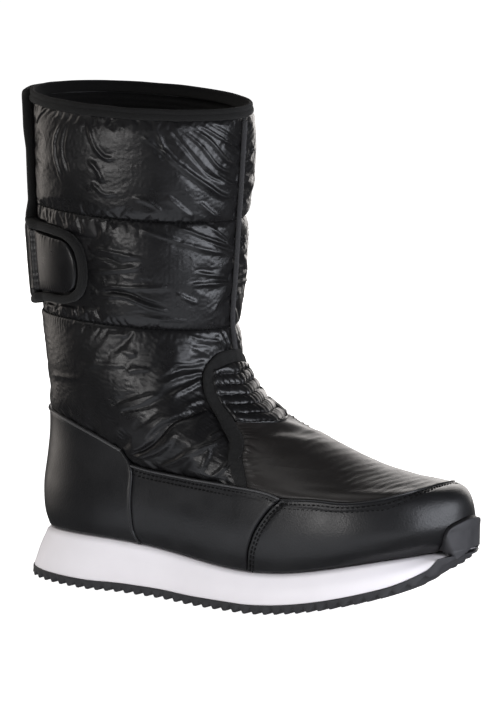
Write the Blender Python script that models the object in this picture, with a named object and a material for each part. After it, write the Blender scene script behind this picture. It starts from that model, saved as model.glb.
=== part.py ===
# Quilted costume boot, right foot. Worked in millimetres, +X to the toe, +Y to the inner side, +Z up.
# Every piece is cut from one form: rings round the last, from the feather edge up to the collar.

import bpy
import numpy as np

MM = 0.001

# Place of the part's origin, the middle of its footprint, in the last's own millimetres
MIDDLE = {"x": 147.236, "y": -0.5}

# Wall, gaps and thicknesses, in mm
SKIN_INSET = 2.2        # nylon lies this far under the outer form, where leather covers it
WALL = 3.0              # padded nylon wall
GAP = 0.3               # between pieces that meet
LEATHER = 1.9
TAPE = 1.4
FLAP = 4.2
PUFF = {"shaft": 2.8, "ankle": 1.0}

# Stitched rings of the shaft, and the rims, as levels of the ring table
SEAM_LOW = 9.08
SEAM_HIGH = 10.66
COLLAR = 12.0

# Rings of the last, one row each from the feather edge to the collar. The columns are named here:
# height at the back and front, back and front end, half widths to the outer and inner side, place of
# the widest point, fullness of the back and nose, waist on both sides, swing of the nose.
RING_COLUMNS = "back_z front_z back_x front_x outer inner widest heel nose waist_out waist_in swing".split()
RINGS = [
    [31, 46, 8.0, 288.5, 47, 46, 0.70, 4.0, 2.6, 0.12, 0.20, 7],
    [42, 53, 4.5, 296.0, 50, 49, 0.70, 4.0, 2.6, 0.12, 0.18, 8],
    [58, 63, 3.7, 298.5, 51, 50, 0.69, 4.0, 2.6, 0.11, 0.16, 8],
    [74, 79.5, 5.2, 292.6, 49, 48, 0.66, 3.8, 2.5, 0.10, 0.13, 7],
    [88, 82.5, 6.6, 269.0, 47, 46, 0.60, 3.4, 2.3, 0.08, 0.10, 6],
    [100, 87, 7.2, 237.5, 46, 45, 0.54, 3.0, 2.2, 0.06, 0.07, 5],
    [112, 98.6, 7.4, 202.0, 46, 45, 0.49, 2.7, 2.2, 0.03, 0.03, 4],
    [126, 110.5, 7.4, 168.0, 46, 45, 0.47, 2.4, 2.1, 0.01, 0.01, 2],
    [143, 132, 6.2, 143.0, 48, 47, 0.48, 2.2, 2.05, 0.0, 0.0, 1],
    [165, 161, 2.5, 134.0, 50, 49, 0.50, 2.1, 2.0, 0.0, 0.0, 0],
    [205, 200, -1.5, 135.3, 54, 53, 0.50, 2.0, 2.0, 0.0, 0.0, 0],
    [250, 245, -4.3, 137.8, 57, 56, 0.50, 2.0, 2.0, 0.0, 0.0, 0],
    [301, 296, -6.2, 140.4, 59, 58, 0.50, 2.0, 2.0, 0.0, 0.0, 0],
]
FEATHER_DIP = {"deep": 15.3, "at": 187.0, "reach": 78.0, "fades_by": 5.0}
COLLAR_RISE = {"mean": -0.1, "swing": 1.1, "towards": -75.0, "from": 10.7}

# Loops of the sole from the ground up: back and front end, half widths to the outer and inner side
SOLE_LOOPS = {
    "tread": (-4.5, 301.0, 51.5, 50.5),
    "rubber_top": (-4.0, 301.6, 53.2, 52.2),
    "foam_foot": (-3.4, 301.0, 52.6, 51.6),
    "foam_middle": (1.0, 298.5, 51.8, 50.8),
    "foam_shoulder": (6.2, 292.5, 49.4, 48.4),
    "foam_top": (8.4, 289.5, 47.2, 46.2),
    "insole_foot": (14.4, 281.5, 40.2, 38.6),
    "insole_top": (14.8, 281.0, 39.8, 38.2),
}
SPRING = {"from": 175.0, "rise": 20.0, "per": 100.0, "power": 1.7, "tip": 8.0, "tip_from": 268.0, "tip_per": 31.0}
ARCH = {"high": 1.2, "at": 98.0, "reach": 30.0}
TOOTH = {"pitch": 7.5, "tip": 3.4, "flank": 0.8, "deep": 2.4, "first": 1.5}
RUBBER = {"thick": 5.8, "sweep": 9.0, "sweep_from": 287.0, "sweep_per": 8.0}
BUMPER = {"thick": 2.6, "worn": 1.2, "upright": 1.6, "foot": 39.0}
INSOLE = 4.0


def smooth(value):
    value = np.clip(value, 0.0, 1.0)
    return value * value * (3.0 - 2.0 * value)


def ring_sizes(level):
    """Each column of the ring table at a level, along a curve through the rows."""
    rows = np.array(RINGS, float)
    last = len(rows) - 1
    level = np.asarray(level, float)
    low = np.clip(np.floor(level).astype(int), 0, last - 1)
    part = (level - low)[..., None]
    start = rows[low]
    end = rows[low + 1]
    before = np.where((low > 0)[..., None], rows[np.maximum(low - 1, 0)], 2 * start - end)
    after = np.where((low + 2 <= last)[..., None], rows[np.minimum(low + 2, last)], 2 * end - start)
    square = part * part
    cube = square * part
    values = (
        (2 * cube - 3 * square + 1) * start
        + (cube - 2 * square + part) * (end - before) / 2
        + (3 * square - 2 * cube) * end
        + (cube - square) * (after - start) / 2
    )
    return {name: values[..., i] for i, name in enumerate(RING_COLUMNS)}


def half_width(along, outer_side, sizes):
    """Half width of a ring at the share 'along' of its length, as a part of its widest."""
    behind = along < sizes["widest"]
    reach = np.where(behind, sizes["widest"], 1.0 - sizes["widest"])
    power = np.where(behind, sizes["heel"], sizes["nose"])
    round_end = np.sqrt(np.clip(1.0 - np.abs((along - sizes["widest"]) / reach) ** power, 0.0, None))
    waist = np.where(outer_side, sizes["waist_out"], sizes["waist_in"])
    return round_end * (1.0 - waist * np.exp(-(((along - 0.36) / 0.19) ** 2)))


def feather_height(along):
    """Height of the feather edge, where the upper meets the sole."""
    sizes = ring_sizes(np.zeros_like(along))
    x = sizes["back_x"] + along * (sizes["front_x"] - sizes["back_x"])
    dip = FEATHER_DIP["deep"] * np.exp(-(((x - FEATHER_DIP["at"]) / FEATHER_DIP["reach"]) ** 2))
    return sizes["back_z"] + along * (sizes["front_z"] - sizes["back_z"]) - dip


def form(turn, level):
    """Point of the outer form: turn in degrees from the heel by the outer side, level of the ring table."""
    angle = np.radians(turn)
    along = (1.0 - np.cos(angle)) / 2.0
    sizes = ring_sizes(level)
    outer_side = np.sin(angle) >= 0.0
    width = np.where(outer_side, sizes["outer"], sizes["inner"]) * half_width(along, outer_side, sizes)
    x = sizes["back_x"] + along * (sizes["front_x"] - sizes["back_x"])
    y = -np.sign(np.sin(angle)) * width + sizes["swing"] * np.clip(2.0 * along - 1.0, 0.0, 1.0) ** 2
    z = sizes["back_z"] + along * (sizes["front_z"] - sizes["back_z"])
    dip = FEATHER_DIP["deep"] * np.exp(-(((x - FEATHER_DIP["at"]) / FEATHER_DIP["reach"]) ** 2))
    z = z - dip * np.clip(1.0 - level / FEATHER_DIP["fades_by"], 0.0, None)
    rise = COLLAR_RISE["mean"] + COLLAR_RISE["swing"] * np.cos(angle - np.radians(COLLAR_RISE["towards"]))
    z = z + rise * smooth((level - COLLAR_RISE["from"]) / (COLLAR - COLLAR_RISE["from"]))
    return np.stack([x, y, z], -1)


def outward(turn, level):
    """Unit normal of the form. It is level at the feather edge, so that the rim there is flat."""
    around = form(turn + 0.5, level) - form(turn - 0.5, level)
    low = np.clip(level - 0.02, 0.0, COLLAR - 0.04)
    upward = form(turn, low + 0.04) - form(turn, low)
    normal = np.cross(around, upward)
    normal[..., 2] *= smooth(level / 0.6)
    return normal / np.linalg.norm(normal, axis=-1)[..., None]


def between(value, low, high, soft):
    """One inside a stretch, easing to nothing over 'soft' at both ends."""
    return smooth((value - low) / soft) * smooth((high - value) / soft)


def puff(turn, level):
    """Height of the quilting over the skin: full between the stitched rings, none under what covers it."""
    shaft = np.sin(np.pi * np.clip((level - SEAM_HIGH) / (11.82 - SEAM_HIGH), 0, 1)) ** 0.6
    shaft += np.sin(np.pi * np.clip((level - SEAM_LOW) / (SEAM_HIGH - SEAM_LOW), 0, 1)) ** 0.6
    ankle = np.sin(np.pi * np.clip((level - 6.2) / (SEAM_LOW - 6.2), 0, 1)) ** 0.7
    side = np.where(turn > 180.0, 360.0 - turn, turn)
    closed_side = np.where(turn > 180.0, 84.0, 46.0)
    tab = np.where(turn > 180.0, 0.0, between(level, 9.1, 10.6, 0.2)) * 50.0
    open_shaft = smooth((side - closed_side - tab) / 10.0) * smooth((178.0 - side) / 12.0)
    open_ankle = between(side, 20.0, 138.0, 22.0)
    return PUFF["shaft"] * shaft * open_shaft + PUFF["ankle"] * ankle * open_ankle


def skin(turn, level, lift=0.0):
    """Point over the nylon's skin, without its quilting."""
    lift = np.asarray(lift, float)
    return form(turn, level) + outward(turn, level) * (lift - SKIN_INSET)[..., None]


def sheet_faces(first, rows, columns, closed, flip):
    """Quads of one sheet whose points start at 'first', row by row."""
    row, column = np.meshgrid(np.arange(rows - 1), np.arange(columns - (not closed)), indexing="ij")
    beside = (column + 1) % columns
    corners = [row * columns + column, row * columns + beside]
    corners += [(row + 1) * columns + beside, (row + 1) * columns + column]
    quads = first + np.stack([corner.ravel() for corner in corners], -1)
    return quads[:, ::-1] if flip else quads


def bridge(path_a, path_b, closed):
    """Quads between two rows of point numbers."""
    if closed:
        path_a = np.append(path_a, path_a[0])
        path_b = np.append(path_b, path_b[0])
    return np.stack([path_a[:-1], path_b[:-1], path_b[1:], path_a[1:]], -1)


def material(name, colour, roughness, metallic=0.0):
    made = bpy.data.materials.new(name)
    made.use_nodes = True
    shader = made.node_tree.nodes["Principled BSDF"]
    shader.inputs["Base Color"].default_value = (*colour, 1.0)
    shader.inputs["Roughness"].default_value = roughness
    shader.inputs["Metallic"].default_value = metallic
    return made


def make(name, points, faces, finish):
    """One object from points in mm and faces, with the part's origin under the middle of its footprint."""
    middle = np.array([MIDDLE["x"], MIDDLE["y"], 0.0])
    mesh = bpy.data.meshes.new(name)
    mesh.from_pydata(((points - middle) * MM).tolist(), [], [list(map(int, face)) for face in faces])
    mesh.update()
    mesh.materials.append(finish)
    made = bpy.data.objects.new(name, mesh)
    bpy.context.scene.collection.objects.link(made)
    return made


def shell(name, outside, inside, finish):
    """Solid between an outer and an inner sheet, joined along their four borders."""
    rows, columns = outside.shape[:2]
    count = rows * columns
    number = np.arange(count).reshape(rows, columns)
    border = np.concatenate([number[0], number[1:, -1], number[-1, -2::-1], number[-2:0:-1, 0]])
    faces = list(sheet_faces(0, rows, columns, False, False))
    faces += list(sheet_faces(count, rows, columns, False, True))
    faces += list(bridge(border, border + count, True))
    points = np.concatenate([outside.reshape(-1, 3), inside.reshape(-1, 3)])
    return make(name, points, faces, finish)


def curve(table, share):
    """Point of a short (turn, level) table at a share of its length, straight between its rows."""
    rows = np.array(table, float)
    step = np.hypot(np.diff(rows[:, 0]) * 1.6, np.diff(rows[:, 1]) * 20.0)
    at = np.append(0.0, np.cumsum(step))
    at = at / at[-1]
    return np.stack([np.interp(share, at, rows[:, 0]), np.interp(share, at, rows[:, 1])], -1)


def mirrored(table):
    """The same line on the inner side."""
    return [(360.0 - turn, level) for turn, level in table]


def patch(bottom, top, left, right, rows, columns, ease=1.0):
    """Turn and level of a four-sided patch, filled in from its four edges. Ease crowds its lower rows."""
    across = np.linspace(0.0, 1.0, columns)
    up = np.linspace(0.0, 1.0, rows) ** ease
    low, high = curve(bottom, across)[None], curve(top, across)[None]
    near, far = curve(left, up)[:, None], curve(right, up)[:, None]
    a = across[None, :, None]
    b = up[:, None, None]
    corners = (1 - a) * (1 - b) * low[:, :1] + a * (1 - b) * low[:, -1:]
    corners = corners + (1 - a) * b * high[:, :1] + a * b * high[:, -1:]
    filled = (1 - b) * low + b * high + (1 - a) * near + a * far - corners
    return filled[..., 0], filled[..., 1]


def border_share(rows, columns):
    """One on a patch's border and nothing inside it."""
    share = np.zeros((rows, columns))
    share[[0, -1]] = 1.0
    share[:, [0, -1]] = 1.0
    return share


def overlay(name, edges, size, thick, finish, rest=GAP, edge_keeps=0.6, crown=None, ease=1.0):
    """Piece of the upper's own form: a patch lifted clear of the skin, with its edges worn down."""
    turn, level = patch(*edges, *size, ease)
    height = thick * (1.0 - (1.0 - edge_keeps) * border_share(*size))
    if crown is not None:
        height = height + crown(turn, level) * (1.0 - border_share(*size))
    inside = skin(turn, level, np.full(size, rest))
    return shell(name, skin(turn, level, rest + height), inside, finish)


def strip(name, path, count, half, thick, finish, rest=GAP, worn=0.55):
    """Tape or cord laid along a path on the skin, its two edges found on the skin itself."""
    share = np.linspace(0.0, 1.0, count)
    turn, level = np.moveaxis(curve(path, share), -1, 0)
    by_turn = (skin(turn + 0.5, level) - skin(turn - 0.5, level))
    by_level = (skin(turn, level + 0.01) - skin(turn, level - 0.01)) / 0.02
    along = np.gradient(skin(turn, level), axis=0)
    side = np.cross(outward(turn, level), along)
    side *= half / np.linalg.norm(side, axis=1)[:, None]
    basis = np.stack([by_turn, by_level], -1)
    step = np.einsum("nij,nj->ni", np.linalg.pinv(basis), side)
    across = np.array([-1.0, 0.0, 1.0])
    turns = turn[:, None] + across * step[:, :1]
    levels = level[:, None] + across * step[:, 1:]
    height = np.broadcast_to(thick * np.array([worn, 1.0, worn]), turns.shape)
    outside = skin(turns, levels, rest + height)
    return shell(name, outside[:, ::-1], skin(turns, levels, np.full(turns.shape, rest))[:, ::-1], finish)


def build_upper(finish):
    """Hollow quilted shaft and foot: an outer and an inner skin, open at the collar and underneath."""
    turn = np.arange(0.0, 360.0, 9.0)
    outer_levels = [0, 0.5, 1.0, 1.6, 2.2, 2.7, 3.2, 3.7, 4.3, 4.9, 5.5, 6.0, 6.4, 6.75, 7.1, 7.4, 7.7, 8.0, 8.35]
    outer_levels += [8.7, SEAM_LOW, 9.3, 9.87, 10.44, SEAM_HIGH, 10.85, 11.24, 11.6, 11.82, COLLAR]
    inner_levels = [0, 0.9, 2.0, 2.9, 3.7, 4.8, 5.9, 6.8, 7.6, 8.5, 9.6, COLLAR]
    turns, levels = np.meshgrid(turn, outer_levels)
    outside = skin(turns, levels, puff(turns, levels))
    turns, levels = np.meshgrid(turn, inner_levels)
    inside = skin(turns, levels, np.full(turns.shape, -WALL))
    rows, columns = outside.shape[:2]
    count = rows * columns
    inner_rows = len(inner_levels)
    faces = list(sheet_faces(0, rows, columns, True, False))
    faces += list(sheet_faces(count, inner_rows, columns, True, True))
    number = np.arange(columns)
    foot, head = number, (rows - 1) * columns + number
    inner_foot, inner_head = count + number, count + (inner_rows - 1) * columns + number
    faces += list(bridge(foot, inner_foot, True))
    faces += list(bridge(inner_head, head, True))
    points = np.concatenate([outside.reshape(-1, 3), inside.reshape(-1, 3)])
    return make("upper", points, faces, finish)


def sole_plan(loop, along):
    """Outer and inner edge of a loop of the sole at shares of its length."""
    back, front, outer, inner = SOLE_LOOPS[loop]
    sizes = ring_sizes(np.zeros_like(along))
    x = back + along * (front - back)
    swing = sizes["swing"] * np.clip(2.0 * along - 1.0, 0.0, 1.0) ** 2
    outside = swing - outer * half_width(along, np.ones(along.shape, bool), sizes)
    inside = swing + inner * half_width(along, np.zeros(along.shape, bool), sizes)
    return x, outside, inside


def tread_height(x):
    """Height of the tooth tips: flat at heel and forefoot, a low arch between, the toe sprung up."""
    past = np.clip((x - SPRING["from"]) / SPRING["per"], 0.0, None)
    tip = np.clip((x - SPRING["tip_from"]) / SPRING["tip_per"], 0.0, None)
    arch = ARCH["high"] * np.exp(-(((x - ARCH["at"]) / ARCH["reach"]) ** 4))
    arch = np.where(arch < 0.02, 0.0, arch)
    return SPRING["rise"] * past ** SPRING["power"] + SPRING["tip"] * tip**2 + arch


def rubber_height(along):
    """Height of the rubber's top, which sweeps up at the toe to just under the feather edge."""
    back, front = SOLE_LOOPS["tread"][:2]
    x = back + along * (front - back)
    sweep = np.clip((x - RUBBER["sweep_from"]) / RUBBER["sweep_per"], 0.0, 1.0) ** 2
    top = tread_height(x) + RUBBER["thick"] + RUBBER["sweep"] * sweep
    return np.minimum(top, feather_height(along) - 2 * GAP)


def ladder(name, loops, finish):
    """Solid of stacked sole loops: each is a row of rungs from the outer to the inner edge."""
    points = []
    for x, outside, inside, height in loops:
        points.append(np.stack([x, outside, height], -1))
        points.append(np.stack([x, inside, height], -1))
    stations = len(loops[0][0])
    rows = np.arange(len(points) * stations).reshape(len(points), stations)
    faces = list(bridge(rows[0], rows[1], False))
    faces += list(bridge(rows[-1], rows[-2], False))
    for low in range(0, len(points) - 2, 2):
        outer_low, inner_low, outer_high, inner_high = rows[low : low + 4]
        faces += list(bridge(outer_high, outer_low, False))
        faces += list(bridge(inner_low, inner_high, False))
        faces.append([outer_high[0], inner_high[0], inner_low[0], outer_low[0]])
        faces.append([inner_high[-1], outer_high[-1], outer_low[-1], inner_low[-1]])
    return make(name, np.concatenate(points), faces, finish)


def end_stations(turns):
    """Shares of the length that round off the ends of a sole loop."""
    share = (1.0 - np.cos(np.radians(np.array(turns, float)))) / 2.0
    return np.concatenate([share, 1.0 - share])


def tread_stations():
    """Shares of the length at each corner of each tooth, and the tooth's cut there."""
    back, front = SOLE_LOOPS["tread"][:2]
    starts = np.arange(back + TOOTH["first"], front - TOOTH["pitch"], TOOTH["pitch"])
    flank, tip = TOOTH["flank"], TOOTH["tip"]
    corners = np.array([0.0, tip, tip + flank, TOOTH["pitch"] - flank])
    at = (starts[:, None] + corners).ravel()
    cut = np.tile([0.0, 0.0, TOOTH["deep"], TOOTH["deep"]], len(starts))
    rounding = back + end_stations([6, 14, 22, 30, 38]) * (front - back)
    rounding = rounding[np.abs(rounding[:, None] - at).min(axis=1) > 0.5]
    extra = np.interp(rounding, at, cut, left=0.0, right=TOOTH["deep"])
    order = np.argsort(np.append(at, rounding))
    return (np.append(at, rounding)[order] - back) / (front - back), np.append(cut, extra)[order]


def build_outsole(finish):
    """Toothed rubber slab, joined to the bumper that stands up round the toe."""
    along, cut = tread_stations()
    x, outside, inside = sole_plan("tread", along)
    loops = [(x, outside, inside, tread_height(x) + cut)]
    loops.append((*sole_plan("rubber_top", along), rubber_height(along)))
    slab = ladder("outsole", loops, finish)
    bottom = [(166.0, 0.35), (200.0, 0.35)]
    top = [(166.0, 0.9), (167.5, 1.4), (170.0, 1.82), (177.0, 2.03), (183.0, 2.13), (189.0, 2.03), (196.0, 1.82)]
    top += [(198.5, 1.4), (200.0, 0.9)]
    left = [(166.0, 0.35), (166.0, 0.9)]
    right = [(200.0, 0.35), (200.0, 0.9)]
    size = (7, 15)
    turn, level = patch(bottom, top, left, right, *size)
    inner_face = skin(turn, level, np.full(size, LEATHER + 3 * GAP))
    upright = np.maximum(level, BUMPER["upright"])
    stand_out = BUMPER["thick"] - BUMPER["worn"] * border_share(*size)
    stand_out[0] = BUMPER["thick"]
    outer_face = skin(turn, upright, LEATHER + 3 * GAP + stand_out)
    outer_face[..., 2] = form(turn, level)[..., 2] + stand_out - BUMPER["thick"]
    inner_foot = skin(turn[:1], upright[:1], np.full((1, size[1]), LEATHER + 3 * GAP + 0.6))
    inner_foot[..., 2] = BUMPER["foot"]
    outer_foot = outer_face[:1].copy()
    outer_foot[..., 2] = BUMPER["foot"]
    inner_face = np.concatenate([inner_foot, inner_face])
    outer_face = np.concatenate([outer_foot, outer_face])
    bumper = shell("toe_bumper", outer_face, inner_face, finish)
    bumper.hide_render = True
    bumper.display_type = "WIRE"
    join = slab.modifiers.new("bumper", "BOOLEAN")
    join.operation = "UNION"
    join.object = bumper
    return slab


def build_midsole(finish):
    """Foam wedge between the rubber and the feather edge. It runs out where the rubber sweeps up."""
    turns = np.arange(6.0, 175.0, 4.0)
    along = (1.0 - np.cos(np.radians(turns))) / 2.0
    low = rubber_height(along) + GAP
    high = feather_height(along) - GAP
    thick_enough = high - low > 1.2
    along, low, high = along[thick_enough], low[thick_enough], high[thick_enough]
    loops = []
    for loop, share in (("foam_foot", 0.0), ("foam_middle", 0.5), ("foam_shoulder", 0.93), ("foam_top", 1.0)):
        loops.append((*sole_plan(loop, along), low + share * (high - low)))
    return ladder("midsole", loops, finish)


def build_insole(finish):
    """Flat bed inside the upper, on the foam."""
    along = (1.0 - np.cos(np.radians(np.arange(6.0, 175.0, 6.0)))) / 2.0
    bed = feather_height(along)
    loops = [(*sole_plan("insole_foot", along), bed), (*sole_plan("insole_top", along), bed + INSOLE)]
    return ladder("insole", loops, finish)


# Lines of the outer side as (turn, level); the inner side mirrors them
COUNTER_FRONT = [(68.4, 0.03), (66.8, 0.55), (66.2, 1.3), (66.0, 2.5), (66.6, 3.6), (66.0, 4.2)]
COUNTER_TOP = [(-66.0, 4.2), (-58.0, 4.79), (-46.0, 5.22), (-23.0, 5.44), (0.0, 5.5)]
COUNTER_TOP += [(-turn, level) for turn, level in COUNTER_TOP[-2::-1]]
QUARTER_BACK = [(68.8, 0.03), (67.2, 0.55), (66.6, 1.3), (66.4, 2.5), (67.2, 3.44)]
QUARTER_TOP = [(67.2, 3.44), (72.0, 3.34), (80.0, 3.31), (98.0, 3.34), (104.0, 3.31), (108.5, 3.2), (111.4, 3.0)]
CAP_BACK = [(102.2, 0.03), (102.2, 1.36), (103.8, 2.0), (106.8, 2.5), (111.8, 2.98)]
CAP_TOP = [(111.8, 2.98), (121.0, 2.98), (131.0, 2.85), (140.0, 2.92), (151.0, 3.14), (165.0, 3.5), (180.0, 3.68)]
VAMP_SIDE = [(105.4, 3.42), (112.8, 4.6), (122.8, 5.46), (141.0, 6.42), (152.0, 7.02)]
TAPE_PATH = [(101.8, 3.46), (108.5, 4.5), (117.0, 5.35), (124.8, 5.84), (136.0, 6.62), (144.6, 7.3), (147.4, 7.65)]
TAPE_PATH += [(151.5, 8.0), (155.5, 8.22), (164.5, 8.45), (180.0, 8.53)]
GUSSET_SIDE = [(152.5, 7.1), (153.0, 7.35), (154.5, 7.65), (158.5, 8.0), (161.0, 8.14)]
BINDING_PATH = [(36.0, 11.83), (36.0, 10.6), (38.0, 10.45), (43.0, 10.39), (66.0, 10.38), (75.0, 10.35), (80.5, 10.27)]
BINDING_PATH += [(84.0, 10.14), (85.3, 10.0), (85.3, 9.78), (83.6, 9.62), (79.5, 9.49), (73.0, 9.42), (36.0, 9.36)]
TAB_END = [(72.5, 9.51), (77.5, 9.56), (80.6, 9.65), (82.0, 9.8), (82.0, 9.99), (80.6, 10.1), (77.5, 10.22)]
TAB_END += [(72.5, 10.28)]


def both_sides(table):
    """A line that runs on from the outer side over the middle to its twin on the inner side."""
    return table + mirrored(table)[-2::-1]


def lowered(table, by):
    return [(turn, level - by) for turn, level in table]


def build_panels(finish, nylon):
    """Leather pieces round the foot, and the nylon vamp over it."""
    foot = 0.03
    toe_cap = (both_sides([(102.2, foot), (180.0, foot)]), both_sides(CAP_TOP), CAP_BACK, mirrored(CAP_BACK))
    overlay("toe_cap", toe_cap, (11, 25), LEATHER, finish, rest=0.5)
    quarter_front = [(turn - 0.3, level) for turn, level in CAP_BACK]
    quarter = ([QUARTER_BACK[0], quarter_front[0]], QUARTER_TOP, QUARTER_BACK, quarter_front)
    overlay("quarter_outer", quarter, (6, 10), LEATHER, finish, rest=0.4)
    twin = [mirrored(line) for line in quarter]
    inner = (twin[0][::-1], twin[1][::-1], twin[3], twin[2])
    overlay("quarter_inner", inner, (6, 10), LEATHER, finish, rest=0.45)
    counter_back = [(-turn, level) for turn, level in COUNTER_FRONT]
    counter = ([counter_back[0], COUNTER_FRONT[0]], COUNTER_TOP, counter_back, COUNTER_FRONT)
    overlay("heel_counter", counter, (8, 21), LEATHER, finish, rest=0.4)
    vamp_front = [VAMP_SIDE[0], (112.4, 3.04)] + [(turn, level + 0.04) for turn, level in CAP_TOP[1:]]
    vamp_back = [VAMP_SIDE[-1], (180.0, 7.04)]
    vamp = (both_sides(vamp_front), both_sides(vamp_back), VAMP_SIDE, mirrored(VAMP_SIDE))
    overlay("vamp", vamp, (13, 15), LEATHER - 0.3, nylon, rest=0.6, ease=1.4)


def ribs(turn, level):
    """Five gathered ribs across the bend of the foot."""
    share = (level - 7.1) / (8.22 - 7.1)
    return 1.9 * np.abs(np.sin(np.pi * 5.0 * np.clip(share, 0.0, 1.0)))


def build_instep(nylon, felt):
    """Ribbed gusset in the bend of the foot, framed by a tape."""
    gusset_top = both_sides([GUSSET_SIDE[-1], (180.0, 8.22)])
    gusset = (both_sides([GUSSET_SIDE[0], (180.0, 7.11)]), gusset_top, GUSSET_SIDE, mirrored(GUSSET_SIDE))
    overlay("instep_gusset", gusset, (21, 9), 1.0, nylon, rest=0.5, crown=ribs)
    strip("instep_tape", both_sides(TAPE_PATH), 45, 4.2, TAPE, felt, rest=0.5, worn=0.7)


def build_shaft_trim(nylon, knit):
    """Shin seam, back flap, closing tab and their binding."""
    strip("front_seam", [(180.0, 8.7), (180.0, 11.8)], 13, 1.7, 2.2, nylon, rest=0.5, worn=0.3)
    pillow = lambda turn, level: np.full(turn.shape, 0.8)
    flap_side = [(33.2, 9.2), (33.2, 11.83)]
    flap_seam = [(-78.0, 9.2), (-78.0, 11.83)]
    flap = ([flap_seam[0], flap_side[0]], [flap_seam[1], flap_side[1]], flap_seam, flap_side)
    overlay("closure_flap", flap, (8, 13), FLAP - 0.8, nylon, crown=pillow, edge_keeps=0.7)
    tab_root = [(33.8, 9.46), (33.8, 10.29)]
    tab = ([tab_root[0], TAB_END[0]], [tab_root[1], TAB_END[-1]], tab_root, TAB_END)
    overlay("closure_tab", tab, (7, 9), FLAP - 1.0, nylon, crown=pillow, edge_keeps=0.6)
    strip("closure_binding", BINDING_PATH, 41, 2.6, FLAP, knit, worn=0.7)


def build_collar_binding(finish):
    """Knit tape folded over the rim: a channel section carried round the collar."""
    turn = np.arange(0.0, 360.0, 9.0)
    level = np.full_like(turn, COLLAR)
    rim = skin(turn, level)
    out = outward(turn, level)
    up = form(turn, level) - form(turn, level - 0.05)
    up /= np.linalg.norm(up, axis=1)[:, None]
    thick, leg, top = 1.9, 7.0, 2.2
    inner = -WALL - GAP
    section = [(GAP, -leg), (GAP + thick, -leg), (GAP + thick, top - 1.3), (GAP + thick - 1.2, top)]
    section += [(inner - thick + 1.2, top), (inner - thick, top - 1.3), (inner - thick, -leg), (inner, -leg)]
    section += [(inner, GAP), (GAP, GAP)]
    rows = np.array([rim + out * side + up * height for side, height in section])
    rows = np.concatenate([rows, rows[:1]])
    count = len(turn)
    faces = sheet_faces(0, len(section) + 1, count, True, False) % (len(section) * count)
    return make("collar_binding", rows[:-1].reshape(-1, 3), faces, finish)


for old in list(bpy.data.objects):
    bpy.data.objects.remove(old, do_unlink=True)

nylon_black = material("nylon_black", (0.020, 0.020, 0.022), 0.34)
leather_black = material("leather_black", (0.022, 0.022, 0.023), 0.42)
felt_black = material("felt_black", (0.010, 0.010, 0.010), 0.95)
knit_black = material("knit_black", (0.012, 0.012, 0.012), 0.85)
foam_white = material("foam_white", (0.83, 0.81, 0.84), 0.55)
rubber_black = material("rubber_black", (0.028, 0.029, 0.031), 0.60)

build_outsole(rubber_black)
build_midsole(foam_white)
build_insole(knit_black)
build_upper(nylon_black)
build_panels(leather_black, nylon_black)
build_instep(nylon_black, felt_black)
build_shaft_trim(nylon_black, knit_black)
build_collar_binding(knit_black)
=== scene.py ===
import bpy
import numpy as np
from mathutils import Matrix


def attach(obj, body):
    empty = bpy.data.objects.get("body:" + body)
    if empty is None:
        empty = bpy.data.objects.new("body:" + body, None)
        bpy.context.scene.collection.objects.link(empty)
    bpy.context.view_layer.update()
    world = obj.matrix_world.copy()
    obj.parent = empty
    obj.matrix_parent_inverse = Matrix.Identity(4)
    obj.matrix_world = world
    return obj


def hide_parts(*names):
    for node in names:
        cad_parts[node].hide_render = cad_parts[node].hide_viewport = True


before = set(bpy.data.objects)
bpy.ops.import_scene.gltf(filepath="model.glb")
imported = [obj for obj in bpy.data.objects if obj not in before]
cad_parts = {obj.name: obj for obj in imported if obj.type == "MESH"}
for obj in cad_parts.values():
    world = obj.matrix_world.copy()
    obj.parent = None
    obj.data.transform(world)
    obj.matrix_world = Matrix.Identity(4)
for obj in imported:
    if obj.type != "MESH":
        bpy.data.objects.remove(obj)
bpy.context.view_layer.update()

scene = bpy.context.scene
scene.view_settings.view_transform = "Standard"
middle = np.array([147.236, -0.5, 0.0])     # the part's origin in the last's own millimetres
print("frame loaded")


# Matrix of the camera or a lamp from its three axes and its place
def placedBy(*columns):
    matrix = np.eye(4)
    matrix[:3] = np.stack(columns, 1)
    return Matrix(matrix.tolist())


# Camera: looks at a point of the boot from a distance, by its yaw, elevation and a slight roll
cameraPlan = {"aim": (150.0, 0.0, 150.0), "aside": (-1.21, -3.02), "yaw": 33.0, "elevation": 8.4, "roll": 0.8,
              "distance": 3400.0, "lens": 405.1}
yaw, elevation, roll = np.radians([cameraPlan["yaw"], cameraPlan["elevation"], cameraPlan["roll"]])
towards = np.array([np.sin(yaw) * np.cos(elevation), -np.cos(yaw) * np.cos(elevation), np.sin(elevation)])
level0 = np.array([np.cos(yaw), np.sin(yaw), 0.0])
upright = np.cross(towards, level0)
cameraRight = level0 * np.cos(roll) + upright * np.sin(roll)
cameraUp = upright * np.cos(roll) - level0 * np.sin(roll)
aim = np.array(cameraPlan["aim"]) + cameraRight * cameraPlan["aside"][0] + cameraUp * cameraPlan["aside"][1]
cameraAt = (aim + towards * cameraPlan["distance"] - middle) * 0.001
lensData = bpy.data.cameras.new("photoCamera")
lensData.sensor_fit = "HORIZONTAL"
lensData.sensor_width = 36.0
lensData.lens = cameraPlan["lens"]
lensData.clip_end = 50.0
photoCamera = bpy.data.objects.new("photoCamera", lensData)
scene.collection.objects.link(photoCamera)
photoCamera.matrix_world = placedBy(cameraRight, cameraUp, towards, cameraAt)
scene.camera = photoCamera

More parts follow.
